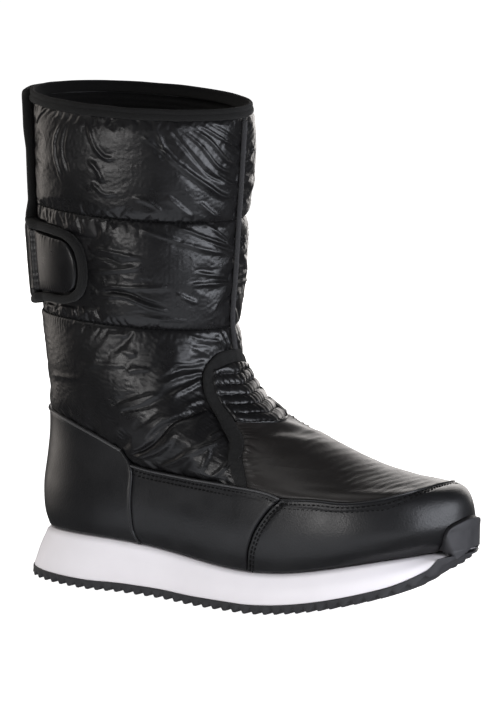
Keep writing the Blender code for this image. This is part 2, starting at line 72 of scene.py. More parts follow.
# Rings of the last, from the feather edge up to the collar, in mm. Each row is one level
ringColumns = "backZ frontZ backX frontX outer inner widest heel nose waistOut waistIn swing".split()
ringRows = np.array([
    [31, 46, 8.0, 288.5, 47, 46, 0.70, 4.0, 2.6, 0.12, 0.20, 7],
    [42, 53, 4.5, 296.0, 50, 49, 0.70, 4.0, 2.6, 0.12, 0.18, 8],
    [58, 63, 3.7, 298.5, 51, 50, 0.69, 4.0, 2.6, 0.11, 0.16, 8],
    [74, 79.5, 5.2, 292.6, 49, 48, 0.66, 3.8, 2.5, 0.10, 0.13, 7],
    [88, 82.5, 6.6, 269.0, 47, 46, 0.60, 3.4, 2.3, 0.08, 0.10, 6],
    [100, 87, 7.2, 237.5, 46, 45, 0.54, 3.0, 2.2, 0.06, 0.07, 5],
    [112, 98.6, 7.4, 202.0, 46, 45, 0.49, 2.7, 2.2, 0.03, 0.03, 4],
    [126, 110.5, 7.4, 168.0, 46, 45, 0.47, 2.4, 2.1, 0.01, 0.01, 2],
    [143, 132, 6.2, 143.0, 48, 47, 0.48, 2.2, 2.05, 0.0, 0.0, 1],
    [165, 161, 2.5, 134.0, 50, 49, 0.50, 2.1, 2.0, 0.0, 0.0, 0],
    [205, 200, -1.5, 135.3, 54, 53, 0.50, 2.0, 2.0, 0.0, 0.0, 0],
    [250, 245, -4.3, 137.8, 57, 56, 0.50, 2.0, 2.0, 0.0, 0.0, 0],
    [301, 296, -6.2, 140.4, 59, 58, 0.50, 2.0, 2.0, 0.0, 0.0, 0],
])
seamLow, seamHigh, collarLevel, shinTurn = 9.08, 10.66, 12.0, 184.5
skinInset, wall, gap = 2.2, 3.0, 0.3
featherDip = {"deep": 15.3, "at": 187.0, "reach": 78.0, "fadesBy": 5.0}
collarRise = {"mean": -0.1, "swing": 1.1, "towards": -75.0, "from": 10.7}


# Smooth step: three squares less two cubes of the value, which is held between 0 and 1
def smooth(value):
    value = np.clip(value, 0.0, 1.0)
    return value * value * (3.0 - 2.0 * value)


# One inside a stretch, easing to nothing over a soft length at both ends
def within(value, low, high, soft):
    return smooth((value - low) / soft) * smooth((high - value) / soft)


# Bell curve: e to the minus square of the value
def bell(value):
    return np.exp(-(value**2))


# Vectors divided by their own lengths
def unit(vectors):
    return vectors / np.linalg.norm(vectors, axis=-1)[..., None]


# Length along a line of points, from its first one
def pathLengths(points):
    return np.append(0.0, np.cumsum(np.linalg.norm(np.diff(points, axis=0), axis=1)))


# Share of the boot's length at a turn: half of one less the cosine
def alongAt(turn):
    return (1.0 - np.cos(np.radians(turn))) / 2.0


# Turn mirrored to the outer side: past 180 degrees it is 360 less the turn
def sideTurn(turn):
    return np.where(turn > 180.0, 360.0 - turn, turn)


# Cubic through the rows of the table, each row's slope taken from its two neighbours
def ringSizes(level):
    last = len(ringRows) - 1
    level = np.asarray(level, float)
    low = np.clip(np.floor(level).astype(int), 0, last - 1)
    part = (level - low)[..., None]
    start, end = ringRows[low], ringRows[low + 1]
    before = np.where((low > 0)[..., None], ringRows[np.maximum(low - 1, 0)], 2 * start - end)
    after = np.where((low + 2 <= last)[..., None], ringRows[np.minimum(low + 2, last)], 2 * end - start)
    square = part * part
    cube = square * part
    values = (2 * cube - 3 * square + 1) * start + (cube - 2 * square + part) * (end - before) / 2
    values += (3 * square - 2 * cube) * end + (cube - square) * (after - start) / 2
    return {name: values[..., i] for i, name in enumerate(ringColumns)}


# Half width of a ring at a share of its length: a rounded heel and nose, drawn in at the waist
def halfWidth(along, outerSide, sizes):
    behind = along < sizes["widest"]
    reach = np.where(behind, sizes["widest"], 1.0 - sizes["widest"])
    power = np.where(behind, sizes["heel"], sizes["nose"])
    roundEnd = np.sqrt(np.clip(1.0 - np.abs((along - sizes["widest"]) / reach) ** power, 0.0, None))
    waist = np.where(outerSide, sizes["waistOut"], sizes["waistIn"])
    return roundEnd * (1.0 - waist * bell((along - 0.36) / 0.19))


# Dip of the feather edge under the waist: a bell along the length
def dipAt(x):
    return featherDip["deep"] * bell((x - featherDip["at"]) / featherDip["reach"])


# Point of the last: turn in degrees from the heel round by the outer side, level of the ring table
def lastForm(turn, level):
    angle, along = np.radians(turn), alongAt(turn)
    sizes = ringSizes(level)
    outerSide = np.sin(angle) >= 0.0
    width = np.where(outerSide, sizes["outer"], sizes["inner"]) * halfWidth(along, outerSide, sizes)
    x = sizes["backX"] + along * (sizes["frontX"] - sizes["backX"])
    y = -np.sign(np.sin(angle)) * width + sizes["swing"] * np.clip(2.0 * along - 1.0, 0.0, 1.0) ** 2
    z = sizes["backZ"] + along * (sizes["frontZ"] - sizes["backZ"])
    z = z - dipAt(x) * np.clip(1.0 - level / featherDip["fadesBy"], 0.0, None)
    rise = collarRise["mean"] + collarRise["swing"] * np.cos(angle - np.radians(collarRise["towards"]))
    z = z + rise * smooth((level - collarRise["from"]) / (collarLevel - collarRise["from"]))
    return np.stack([x, y, z], -1)


# Unit normal of the last, from its two slopes, laid level at the feather edge
def outward(turn, level):
    around = lastForm(turn + 0.5, level) - lastForm(turn - 0.5, level)
    low = np.clip(level - 0.02, 0.0, collarLevel - 0.04)
    upward = lastForm(turn, low + 0.04) - lastForm(turn, low)
    normal = np.cross(around, upward)
    normal[..., 2] *= smooth(level / 0.6)
    return unit(normal)


# The nylon's skin, a little inside the last, moved along the normal by a lift
def skin(turn, level, lift=0.0):
    turn, level, lift = np.broadcast_arrays(np.asarray(turn, float), level, np.asarray(lift, float))
    return lastForm(turn, level) + outward(turn, level) * (lift - skinInset)[..., None]


# Line through a short table: a cubic through its rows at shares of its length
def lineAt(table, share):
    rows = np.array(table, float)
    step = np.hypot(np.diff(rows[:, 0]) * 1.6, np.diff(rows[:, 1]) * 20.0)
    at = np.append(0.0, np.cumsum(step))
    at = at / at[-1]
    slope = np.gradient(rows, at, axis=0)
    low = np.clip(np.searchsorted(at, share, side="right") - 1, 0, len(rows) - 2)
    span = (at[low + 1] - at[low])[:, None]
    part = (np.asarray(share) - at[low])[:, None] / span
    square, cube = part**2, part**3
    line = (2 * cube - 3 * square + 1) * rows[low] + (cube - 2 * square + part) * slope[low] * span
    return line + (3 * square - 2 * cube) * rows[low + 1] + (cube - square) * slope[low + 1] * span


# Line mirrored to the other side: 360 less each turn
def mirrored(table):
    return [(360.0 - turn, level) for turn, level in table]


# Line run on past the middle by its own mirror image
def bothSides(table):
    return table + mirrored(table)[-2::-1]


# Line moved up by a step of level
def raised(table, by):
    return [(turn, level + by) for turn, level in table]


# Shares from 0 to 1 that crowd together at both ends, where an edge is rolled over
def edgedShares(count, edge, rolls=6):
    rim = edge * (1.0 - np.cos(np.linspace(0.0, np.pi / 2, rolls)))
    return np.concatenate([rim[:-1], np.linspace(edge, 1.0 - edge, count), (1.0 - rim[:-1])[::-1]])


# Four-sided patch filled in from its edge lines: the sum of the two ruled fills less the corner fill
def patchGrid(bottom, top, left, right, up, across):
    low, high = lineAt(bottom, across)[None], lineAt(top, across)[None]
    near, far = lineAt(left, up)[:, None], lineAt(right, up)[:, None]
    a, b = across[None, :, None], up[:, None, None]
    corners = (1 - a) * (1 - b) * low[:, :1] + a * (1 - b) * low[:, -1:]
    corners = corners + (1 - a) * b * high[:, :1] + a * b * high[:, -1:]
    filled = (1 - b) * low + b * high + (1 - a) * near + a * far - corners
    return filled[..., 0], filled[..., 1]


# Lengths along the rows and columns of a grid of points, from its first one
def lengthsAcross(points):
    step = np.linalg.norm(np.diff(points, axis=1), axis=-1)
    return np.concatenate([np.zeros((len(points), 1)), np.cumsum(step, axis=1)], 1)


# The same up the columns, by turning the grid over
def lengthsUp(points):
    return lengthsAcross(points.swapaxes(0, 1)).swapaxes(0, 1)


# Distance of each point from the nearest of many points of a path, and how far along the path that is
def nearPath(points, path):
    flat = points.reshape(-1, 3)
    square = (flat**2).sum(1)[:, None] + (path**2).sum(1)[None] - 2.0 * flat @ path.T
    nearest = square.argmin(1)
    along = pathLengths(path)
    before, after = path[np.maximum(nearest - 1, 0)], path[np.minimum(nearest + 1, len(path) - 1)]
    tangent = unit(after - before)
    ahead = ((flat - path[nearest]) * tangent).sum(1)
    away = np.sqrt(np.maximum(square[np.arange(len(flat)), nearest] - ahead**2, 0.0))
    beyond = np.where((nearest == 0) & (ahead < 0), -ahead, 0.0)
    beyond = np.where((nearest == len(path) - 1) & (ahead > 0), ahead, beyond)
    shape = points.shape[:-1]
    return np.hypot(away, beyond).reshape(shape), (along[nearest] + ahead).reshape(shape), along[-1]


# Field of many crossing waves: whole turns round the boot, any number up it, so that it closes on itself
def waveField(seed, count, turns, upright, turn, height):
    rng = np.random.default_rng(seed)
    field = np.zeros(np.broadcast(turn, height).shape)
    for _ in range(count):
        around = rng.integers(turns[0], turns[1] + 1) * rng.choice([-1, 1])
        lift = rng.uniform(*upright)
        field += np.cos(np.radians(turn) * around + height * lift + rng.uniform(0, 6.283))
    return field / np.sqrt(count / 2.0)


# Rounded swellings with sharp valleys between them, from the size of such a field
def swells(*field):
    return np.abs(waveField(*field)) - 0.6


# Quads of a grid of points, with the column and row of each of their corners
def sheetFaces(first, rows, columns, closed, flip):
    row, column = np.meshgrid(np.arange(rows - 1), np.arange(columns - (not closed)), indexing="ij")
    row, column = row.ravel(), column.ravel()
    beside = (column + 1) % columns
    quads = first + np.stack([row * columns + column, row * columns + beside,
                              (row + 1) * columns + beside, (row + 1) * columns + column], -1)
    places = np.stack([np.stack([column, row], -1), np.stack([column + 1, row], -1),
                       np.stack([column + 1, row + 1], -1), np.stack([column, row + 1], -1)], 1)
    return (quads[:, ::-1], places[:, ::-1]) if flip else (quads, places)


# Quads between two lines of point numbers, one for each step along them
def bridgeFaces(pathA, pathB, closed):
    if closed:
        pathA, pathB = np.append(pathA, pathA[0]), np.append(pathB, pathB[0])
    return np.stack([pathA[:-1], pathB[:-1], pathB[1:], pathA[1:]], -1)


# Puts points in mm and quads into a mesh, with a cloth map in metres, and rides it on the boot
def addPiece(name, points, quads, cloth, finish, slot, *nodes):
    mesh = bpy.data.meshes.new(name)
    places = ((points - middle) * 0.001).astype(np.float32)
    mesh.vertices.add(len(places))
    mesh.vertices.foreach_set("co", places.ravel())
    mesh.loops.add(quads.size)
    mesh.loops.foreach_set("vertex_index", quads.astype(np.int32).ravel())
    mesh.polygons.add(len(quads))
    mesh.polygons.foreach_set("loop_start", np.arange(0, quads.size, quads.shape[1], dtype=np.int32))
    mesh.polygons.foreach_set("use_smooth", np.ones(len(quads), bool))
    mesh.update(calc_edges=True)
    layer = mesh.uv_layers.new(name="cloth")
    layer.data.foreach_set("uv", (cloth * 0.001).astype(np.float32).ravel())
    mesh.materials.append(finish)
    piece = bpy.data.objects.new(name, mesh)
    scene.collection.objects.link(piece)
    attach(piece, "root")
    if nodes:
        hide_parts(*nodes)
    return piece


# Cloth map of a sheet: lengths along its middle row and column at each corner of each face
def sheetCloth(points, places, closed):
    rows, columns = points.shape[:2]
    ring = points[rows // 2]
    ring = np.concatenate([ring, ring[:1]]) if closed else ring
    across = pathLengths(ring)
    up = lengthsUp(points[:, columns // 3 : columns // 3 + 1])[:, 0]
    return np.stack([across[places[..., 0]], up[places[..., 1]]], -1)


# Solid between an outer and an inner sheet, joined along the borders, or along both rims of a ring
def sheetSolid(name, outside, inside, ring, finish, slot, *nodes):
    rows, columns = outside.shape[:2]
    innerRows = inside.shape[0]
    count = rows * columns
    quads, places = sheetFaces(0, rows, columns, ring, False)
    inner, innerPlaces = sheetFaces(count, innerRows, columns, ring, True)
    cloth = [sheetCloth(outside, places, ring), sheetCloth(inside, innerPlaces, ring)]
    number = np.arange(count).reshape(rows, columns)
    other = count + np.arange(innerRows * columns).reshape(innerRows, columns)
    if ring:
        sides = np.concatenate([bridgeFaces(number[0], other[0], True),
                                bridgeFaces(other[-1], number[-1], True)])
    else:
        borders = [np.concatenate([grid[0], grid[1:, -1], grid[-1, -2::-1], grid[-2:0:-1, 0]])
                   for grid in (number, other)]
        sides = bridgeFaces(*borders, True)
    cloth.append(np.zeros((len(sides), 4, 2)))
    points = np.concatenate([outside.reshape(-1, 3), inside.reshape(-1, 3)])
    quads = np.concatenate([quads, inner, sides])
    return addPiece(name, points, quads, np.concatenate(cloth), finish, slot, *nodes)


# Steps of turn and level that move a point sideways over the skin by one mm, to the left of its path
def sideSteps(turn, level):
    byTurn = skin(turn + 0.5, level) - skin(turn - 0.5, level)
    byLevel = (skin(turn, level + 0.01) - skin(turn, level - 0.01)) / 0.02
    along = np.gradient(skin(turn, level), axis=0)
    side = unit(np.cross(outward(turn, level), along))
    return np.einsum("nij,nj->ni", np.linalg.pinv(np.stack([byTurn, byLevel], -1)), side)


# Path over the skin at even steps of its length, as turn and level
def evenPath(table, count):
    line = lineAt(table, np.linspace(0.0, 1.0, 600))
    length = pathLengths(skin(line[:, 0], line[:, 1]))
    even = np.linspace(0.0, length[-1], count)
    return np.interp(even, length, line[:, 0]), np.interp(even, length, line[:, 1]), length[-1]


# Band laid along a path: its section is a height for each place across, carried along the path
def bandAlong(name, table, count, half, heightAt, rest, finish, slot, *nodes):
    turn, level, length = evenPath(table, count)
    step = sideSteps(turn, level)
    across = np.sin(np.linspace(-np.pi / 2, np.pi / 2, 13))
    turns = turn[:, None] + half * across * step[:, :1]
    levels = level[:, None] + half * across * step[:, 1:]
    along = np.linspace(0.0, length, count)[:, None]
    outside = skin(turns, levels, rest + heightAt(across[None, :], along))
    inside = skin(turns, levels, rest)
    return sheetSolid(name, outside[:, ::-1], inside[:, ::-1], False, finish, slot, *nodes)


# Nodes of a finish: small helpers that add one node and set its sockets
def newFinish(name, roughness):
    made = bpy.data.materials.new(name)
    made.use_nodes = True
    shader = made.node_tree.nodes["Principled BSDF"]
    shader.inputs["Roughness"].default_value = roughness
    return made, shader


# One node: each setting goes to the socket of that name, or else to the node itself
def addNode(tree, kind, **settings):
    node = tree.nodes.new(kind)
    for key, value in settings.items():
        socket = node.inputs.get(key.replace("_", " "))
        if socket is not None:
            socket.default_value = value
        else:
            setattr(node, key, value)
    return node


# Place on the piece, in its own coordinates
def objectPlace(tree):
    return addNode(tree, "ShaderNodeTexCoord").outputs["Object"]


# Noise over the place on the piece, stretched by a mapping where asked
def noiseOf(tree, scale, detail=4.0, roughness=0.55, stretch=None, distortion=0.0):
    source = objectPlace(tree)
    if stretch is not None:
        mapping = addNode(tree, "ShaderNodeMapping", Scale=stretch)
        tree.links.new(source, mapping.inputs["Vector"])
        source = mapping.outputs["Vector"]
    node = addNode(tree, "ShaderNodeTexNoise", Scale=scale, Detail=detail, Roughness=roughness,
                   Distortion=distortion)
    tree.links.new(source, node.inputs["Vector"])
    return node.outputs["Fac"]


# Distance to the middle of the nearest small cell, smoothed
def cellsOf(tree, scale):
    node = addNode(tree, "ShaderNodeTexVoronoi", Scale=scale, feature="SMOOTH_F1")
    tree.links.new(objectPlace(tree), node.inputs["Vector"])
    return node.outputs["Distance"]


# Fine ribs across one direction of the cloth map
def ribsOf(tree, scale, direction, distortion=0.0):
    node = addNode(tree, "ShaderNodeTexWave", Scale=scale, Distortion=distortion, bands_direction=direction)
    cloth = addNode(tree, "ShaderNodeUVMap", uv_map="cloth")
    tree.links.new(cloth.outputs["UV"], node.inputs["Vector"])
    return node.outputs["Fac"]


noiseSpan = (0.3, 0.7)      # the part of a noise's range that tone and gloss are spread over


# Colour that goes from the first to the second over the span of a noise
def rampOf(tree, source, *colours):
    node = addNode(tree, "ShaderNodeValToRGB")
    for element, position, colour in zip(node.color_ramp.elements, noiseSpan, colours):
        element.position = position
        element.color = (*colour, 1.0)
    tree.links.new(source, node.inputs["Fac"])
    return node.outputs["Color"]


# Value that goes from low to high over the same span
def rangeOf(tree, source, low, high):
    node = addNode(tree, "ShaderNodeMapRange", From_Min=noiseSpan[0], From_Max=noiseSpan[1],
                   To_Min=low, To_Max=high)
    tree.links.new(source, node.inputs["Value"])
    return node.outputs["Result"]


# Bump by a height, laid over the bump under it
def bumpOf(tree, height, strength, depth, under):
    node = addNode(tree, "ShaderNodeBump", Strength=strength, Distance=depth)
    tree.links.new(height, node.inputs["Height"])
    if under is not None:
        tree.links.new(under, node.inputs["Normal"])
    return node.outputs["Normal"]


# Finish by a plan: noise changes its tone and gloss; its bumps, with strength and depth, lie one over another
def makeFinish(name, plan):
    made, shader = newFinish(name, plan["roughness"])
    tree = made.node_tree
    tone = rampOf(tree, noiseOf(tree, *plan["tone"]), plan["dark"], plan["light"])
    tree.links.new(tone, shader.inputs["Base Color"])
    if "gloss" in plan:
        low, high, *grain = plan["gloss"]
        tree.links.new(rangeOf(tree, noiseOf(tree, *grain), low, high), shader.inputs["Roughness"])
    normal = None
    for pattern, strength, depth, *grain in plan["bumps"]:
        normal = bumpOf(tree, pattern(tree, *grain), strength, depth, normal)
    tree.links.new(normal, shader.inputs["Normal"])
    for socket, value in plan.get("sockets", {}).items():
        shader.inputs[socket].default_value = value
    return made


# Nylon: small crinkles stretched along the cloth and a close weave on the cloth map
def nylonPlan(dark, light, roughness, crinkle):
    weave = [(ribsOf, 0.06, 0.0001, 1800.0, direction) for direction in "XY"]
    return {"roughness": roughness, "dark": dark, "light": light, "tone": (35.0, 3.0),
            "gloss": (roughness - 0.05, roughness + 0.07, 90.0, 3.0),
            "bumps": [(noiseOf, 0.12, crinkle, 240.0, 4.0, 0.55, (0.6, 0.6, 1.5), 0.5), *weave]}


# Matte fibres: felt, the seam's cord (its lighter colour a painted highlight) and, with ribs across the cloth
# map, the knits
def mattePlan(dark, light, fibre, *ribs):
    grain = (fibre, 6.0, 0.7)
    return {"roughness": 0.95, "dark": dark, "light": light, "tone": grain,
            "bumps": [(noiseOf, 0.5, 0.0004, *grain)] + [(ribsOf, 0.5, *rib, 0.6) for rib in ribs],
            "sockets": {"Specular IOR Level": 0.25, "Sheen Weight": 0.03, "Sheen Roughness": 0.6}}


# One tone for red, green and blue
def grey(tone):
    return (tone, tone, tone)


# Leather: pebbled grain of small cells, pores, and a soft change of gloss as from handling
leatherPlan = {"roughness": 0.35, "dark": (0.0056, 0.0057, 0.0064), "light": (0.0090, 0.0091, 0.0101),
               "tone": (28.0, 4.0), "gloss": (0.30, 0.42, 60.0, 5.0),
               "bumps": [(cellsOf, 0.22, 0.0003, 900.0), (noiseOf, 0.06, 0.0002, 1500.0, 3.0)]}
# Piping: the leather's grain with its colour painted several times lighter than the leather, a painted
# highlight along the rolled edges
paintedHighlightPipingPlan = {**leatherPlan, "dark": (0.040, 0.040, 0.042), "light": (0.056, 0.056, 0.058)}
# Foam: off white with fine pores and a faint mottling
foamPlan = {"roughness": 0.5, "dark": (0.690, 0.670, 0.700), "light": (0.735, 0.715, 0.745),
            "tone": (22.0, 4.0), "gloss": (0.45, 0.6, 900.0, 4.0),
            "bumps": [(noiseOf, 0.1, 0.0002, 900.0, 4.0)]}
# Rubber: dull black, slightly speckled, with a fine moulded skin
rubberLook = {"roughness": 0.55, "dark": (0.022, 0.022, 0.025), "light": (0.034, 0.034, 0.038),
              "tone": (160.0, 6.0, 0.7), "gloss": (0.5, 0.66, 160.0, 6.0, 0.7),
              "bumps": [(noiseOf, 0.15, 0.0002, 1300.0, 3.0)]}
# Thread: waxed, with a fine rough grain
threadPlan = {"roughness": 0.7, "dark": grey(0.003), "light": grey(0.008), "tone": (700.0, 3.0),
              "bumps": [(noiseOf, 0.4, 0.0002, 2600.0, 2.0)], "sockets": {"Specular IOR Level": 0.1}}
quiltTones = (0.0030, 0.0030, 0.0034), (0.0055, 0.0053, 0.0058)
vampTones = (0.0100, 0.0088, 0.0083), (0.0155, 0.0137, 0.0130)

nylon = makeFinish("quiltNylon", nylonPlan(*quiltTones, 0.31, 0.0005))
satin = makeFinish("vampNylon", nylonPlan(*vampTones, 0.40, 0.0003))
leather = makeFinish("panelLeather", leatherPlan)
pipingWithPaintedHighlight = makeFinish("pipingLeatherPaintedHighlight", paintedHighlightPipingPlan)
felt = makeFinish("tapeFelt", mattePlan(grey(0.0022), grey(0.011), 900.0))
# The shin seam's cord is painted about ten times lighter than the nylon: a painted highlight along the seam
paintedHighlightCord = makeFinish("seamCordPaintedHighlight", mattePlan((0.030, 0.030, 0.032), (0.055, 0.055, 0.058), 900.0))
knit = makeFinish("bindingKnit", mattePlan(grey(0.0024), grey(0.0060), 1100.0, (0.00012, 520.0, "X")))
lining = makeFinish("liningKnit", mattePlan(grey(0.0030), grey(0.0075), 600.0, (0.0006, 90.0, "Y")))
foam = makeFinish("wedgeFoam", foamPlan)
rubber = makeFinish("treadRubber", rubberLook)
thread = makeFinish("seamThread", threadPlan)
print("finishes made")

# Lines of the outer side as (turn, level); the inner side mirrors them
counterFront = [(68.4, 0.03), (66.8, 0.55), (66.2, 1.3), (66, 2.5), (66.6, 3.6), (66, 4.2)]
counterTop = [(-66, 4.2), (-58, 4.79), (-46, 5.22), (-23, 5.44), (0, 5.5)]
counterTop += [(-turn, level) for turn, level in counterTop[-2::-1]]
quarterBack = [(68.8, 0.03), (67.2, 0.55), (66.6, 1.3), (66.4, 2.5), (67.2, 3.44)]
quarterTop = [(67.2, 3.44), (72, 3.34), (80, 3.31), (98, 3.34), (104, 3.31), (108.5, 3.2), (111.4, 3)]
capBack = [(102.2, 0.03), (102.2, 1.36), (103.8, 2), (106.8, 2.5), (111.8, 2.98)]
capTop = [(111.8, 2.98), (121, 2.98), (131, 2.85), (140, 2.92), (151, 3.14), (165, 3.5), (180, 3.68)]
vampSide = [(102.6, 3.46), (109.6, 4.6), (119.4, 5.46), (136.6, 6.5), (146, 7.1)]
tapePath = [(101.8, 3.46), (108.5, 4.5), (117, 5.35), (124.8, 5.84), (136, 6.62), (144.6, 7.3), (147.4, 7.65)]
tapePath += [(151.5, 8), (155.5, 8.22), (164.5, 8.45), (180, 8.53)]
gussetSide = [(145.6, 6.93), (147.2, 7.3), (149.4, 7.66), (153.6, 8.06), (158, 8.3)]
bindingPath = [(34, 10.42), (43, 10.39), (66, 10.38), (75, 10.35), (80.5, 10.27), (84, 10.14), (85.3, 10)]
bindingPath += [(85.3, 9.78), (83.6, 9.62), (79.5, 9.49), (73, 9.42), (55, 9.38), (40, 9.32), (28, 9.24)]
bindingPath += [(10, 9.2), (-20, 9.19), (-50, 9.19), (-77, 9.19)]
flapEdge = [(36.2, 10.4), (36.2, 10.8), (36.2, 11.4), (35.8, 11.7), (34, 11.87), (29, 11.95), (20, 11.97)]
flapEdge += [(0, 11.97), (-40, 11.97), (-76, 11.97)]
tabEnd = [(72.5, 9.51), (77.5, 9.56), (80.6, 9.65), (82, 9.8), (82, 9.99), (80.6, 10.1), (77.5, 10.22)]
tabEnd += [(72.5, 10.28)]

soleLoops = {"tread": (-4.5, 301.0, 51.5, 50.5), "rubberTop": (-4.0, 301.6, 53.2, 52.2),
             "foamFoot": (-3.4, 301.0, 52.6, 51.6), "foamMiddle": (1.0, 298.5, 51.8, 50.8),
             "foamShoulder": (6.2, 292.5, 49.4, 48.4), "foamTop": (8.4, 289.5, 47.2, 46.2),
             "insoleFoot": (14.4, 281.5, 40.2, 38.6), "insoleTop": (14.8, 281.0, 39.8, 38.2)}
spring = {"from": 175.0, "rise": 20.0, "per": 100.0, "power": 1.7,
          "tip": 8.0, "tipFrom": 268.0, "tipPer": 31.0}
arch = {"high": 1.2, "at": 98.0, "reach": 30.0}
rubberPlan = {"thick": 5.8, "sweep": 12.0, "sweepFrom": 289.0, "sweepPer": 8.0,
              "pitch": 7.5, "deep": 3.0, "first": 1.5,
              "lean": 8.0, "leanFrom": 224.0, "leanPer": 62.0, "leanSide": -10.0, "leanAcross": 36.0}


# Height of the feather edge: a straight rise from heel to toe less the dip
def featherHeight(along):
    sizes = ringSizes(np.zeros_like(along))
    x = sizes["backX"] + along * (sizes["frontX"] - sizes["backX"])
    return sizes["backZ"] + along * (sizes["frontZ"] - sizes["backZ"]) - dipAt(x)


# Outer and inner edge of a loop of the sole at shares of its length
def soleEdges(loop, along):
    back, front, outer, inner = loop
    sizes = ringSizes(np.zeros_like(along))
    x = back + along * (front - back)
    swing = sizes["swing"] * np.clip(2.0 * along - 1.0, 0.0, 1.0) ** 2
    outside = swing - outer * halfWidth(along, np.ones(along.shape, bool), sizes)
    inside = swing + inner * halfWidth(along, np.zeros(along.shape, bool), sizes)
    return x, outside, inside


# Height of the tooth tips: flat at heel and forefoot, a low arch between, the toe sprung up by a power
def treadHeight(x):
    past = np.clip((x - spring["from"]) / spring["per"], 0.0, None)
    tip = np.clip((x - spring["tipFrom"]) / spring["tipPer"], 0.0, None)
    lift = arch["high"] * np.exp(-(((x - arch["at"]) / arch["reach"]) ** 4))
    sprung = spring["rise"] * past ** spring["power"] + spring["tip"] * tip**2
    return sprung + np.where(lift < 0.02, 0.0, lift)


# Top of the rubber: even thickness, swept up at the toe by a square, under the feather edge
def rubberHeight(along):
    back, front = soleLoops["tread"][:2]
    x = back + along * (front - back)
    sweep = np.clip((x - rubberPlan["sweepFrom"]) / rubberPlan["sweepPer"], 0.0, 1.0) ** 2
    top = treadHeight(x) + rubberPlan["thick"] + rubberPlan["sweep"] * sweep
    return np.minimum(top, featherHeight(along) - 2 * gap)


# Solid of stations: each is one closed section, carried along the sole and capped at both ends
def sectionSolid(name, sections, finish, slot, *nodes):
    stations, count = sections.shape[:2]
    quads, places = sheetFaces(0, stations, count, True, True)
    cloth = sheetCloth(sections, places, True)
    number = np.arange(stations * count).reshape(stations, count)
    half = count // 2
    fore, aft = np.arange(half - 1), np.arange(count - 1, half, -1)
    capA = np.stack([number[0, fore], number[0, fore + 1], number[0, aft - 1], number[0, aft]], -1)
    capB = np.stack([number[-1, fore], number[-1, aft], number[-1, aft - 1], number[-1, fore + 1]], -1)
    quads = np.concatenate([quads, capA, capB])
    cloth = np.concatenate([cloth, np.zeros((len(capA) * 2, 4, 2))])
    return addPiece(name, sections.reshape(-1, 3), quads, cloth, finish, slot, *nodes)


# Section of the sole at each station: up the outer wall, over the top, down the inner wall, back underneath
def soleSections(along, loops, across=4):
    outer, inner = [], []
    for loop, height in loops:
        x, outside, inside = soleEdges(loop, along)
        outer.append(np.stack([x, outside, height], -1))
        inner.append(np.stack([x, inside, height], -1))
    share = np.linspace(0.0, 1.0, across + 2)[1:-1, None, None]
    top = list(outer[-1] * (1 - share) + inner[-1] * share)
    under = list(inner[0] * (1 - share) + outer[0] * share)
    return np.stack(outer + top + inner[::-1] + under, 1)


# Loop that lies a share of the way from one loop to another
def mixLoops(loopA, loopB, share):
    return tuple((1 - share) * a + share * b for a, b in zip(loopA, loopB))


# The sole's toe rolls up towards the inner side: a smooth step along times a smooth step across
def toeLean(x, y):
    along = smooth((x - rubberPlan["leanFrom"]) / rubberPlan["leanPer"])
    return rubberPlan["lean"] * along * smooth((y - rubberPlan["leanSide"]) / rubberPlan["leanAcross"])


# Quarter-round rise from an edge, by the distance from it
def quarterRound(reach, edge):
    return np.sqrt(1.0 - (1.0 - np.clip(reach / edge, 0.0, 1.0)) ** 2)


# One tooth: corners as shares of the pitch, depths as shares of the full depth; then the tread's wall
toothPlan = {"corner": [0.0, 0.16, 0.38, 0.45, 0.62, 0.82, 0.92],
             "depth": [0.6, 0.0, 0.0, 0.15, 0.6, 1.0, 0.95],
             "bevel": 0.25, "tuck": -0.35, "wall": (0.3, 0.65, 0.93), "rim": 0.99, "least": 1.5}


# Teeth: a saw profile along the sole, each with a flat tip, a sloped front and a steeper back
def buildTread():
    back, front = soleLoops["tread"][:2]
    pitch, bevel = rubberPlan["pitch"], toothPlan["bevel"]
    starts = np.arange(back + rubberPlan["first"], front - pitch, pitch)
    at = (starts[:, None] + np.array(toothPlan["corner"]) * pitch).ravel()
    cut = np.tile(np.array(toothPlan["depth"]) * rubberPlan["deep"], len(starts))
    ends = alongAt(np.append(3.0, np.arange(6.0, 39.0, 4.0)))
    ends = back + np.concatenate([ends, 1.0 - ends]) * (front - back)
    ends = ends[np.abs(ends[:, None] - at).min(axis=1) > 0.3]
    order = np.argsort(np.append(at, ends))
    along = (np.append(at, ends)[order] - back) / (front - back)
    cut = np.append(cut, np.interp(ends, at, cut, left=0.0, right=rubberPlan["deep"]))[order]
    foot, top = treadHeight(back + along * (front - back)) + cut, rubberHeight(along)
    low, high = soleLoops["tread"], soleLoops["rubberTop"]
    loops = [(mixLoops(low, high, toothPlan["tuck"]), foot), (low, foot + bevel)]
    for share in toothPlan["wall"]:
        loops.append((mixLoops(low, high, share), foot + bevel + (top - foot - bevel) * share))
    loops.append((mixLoops(low, high, toothPlan["rim"]), top))
    sections = soleSections(along, loops)
    share = np.clip((sections[..., 2] - foot[:, None]) / np.maximum(top - foot, 1.0)[:, None], 0.0, 1.0)
    lean = toeLean(sections[..., 0], sections[..., 1])
    leanTop = np.minimum(top[:, None] + lean, np.maximum(featherHeight(along) - 2 * gap, top)[:, None])
    leanFoot = np.minimum(foot[:, None] + lean, leanTop - toothPlan["least"])
    sections[..., 2] = leanFoot + share * (leanTop - leanFoot)
    sectionSolid("tread", sections, rubber, "rubber_black", "outsole")


bumperPlan = {"thick": 2.6, "worn": 1.2, "edge": 1.6, "rest": 1.9, "upright": 1.6, "steps": 8, "foot": 2.2,
              "footShare": 0.35, "footOut": 0.35, "footIn": 1.2, "middle": 183.0, "narrow": 0.8, "wide": 1.25}


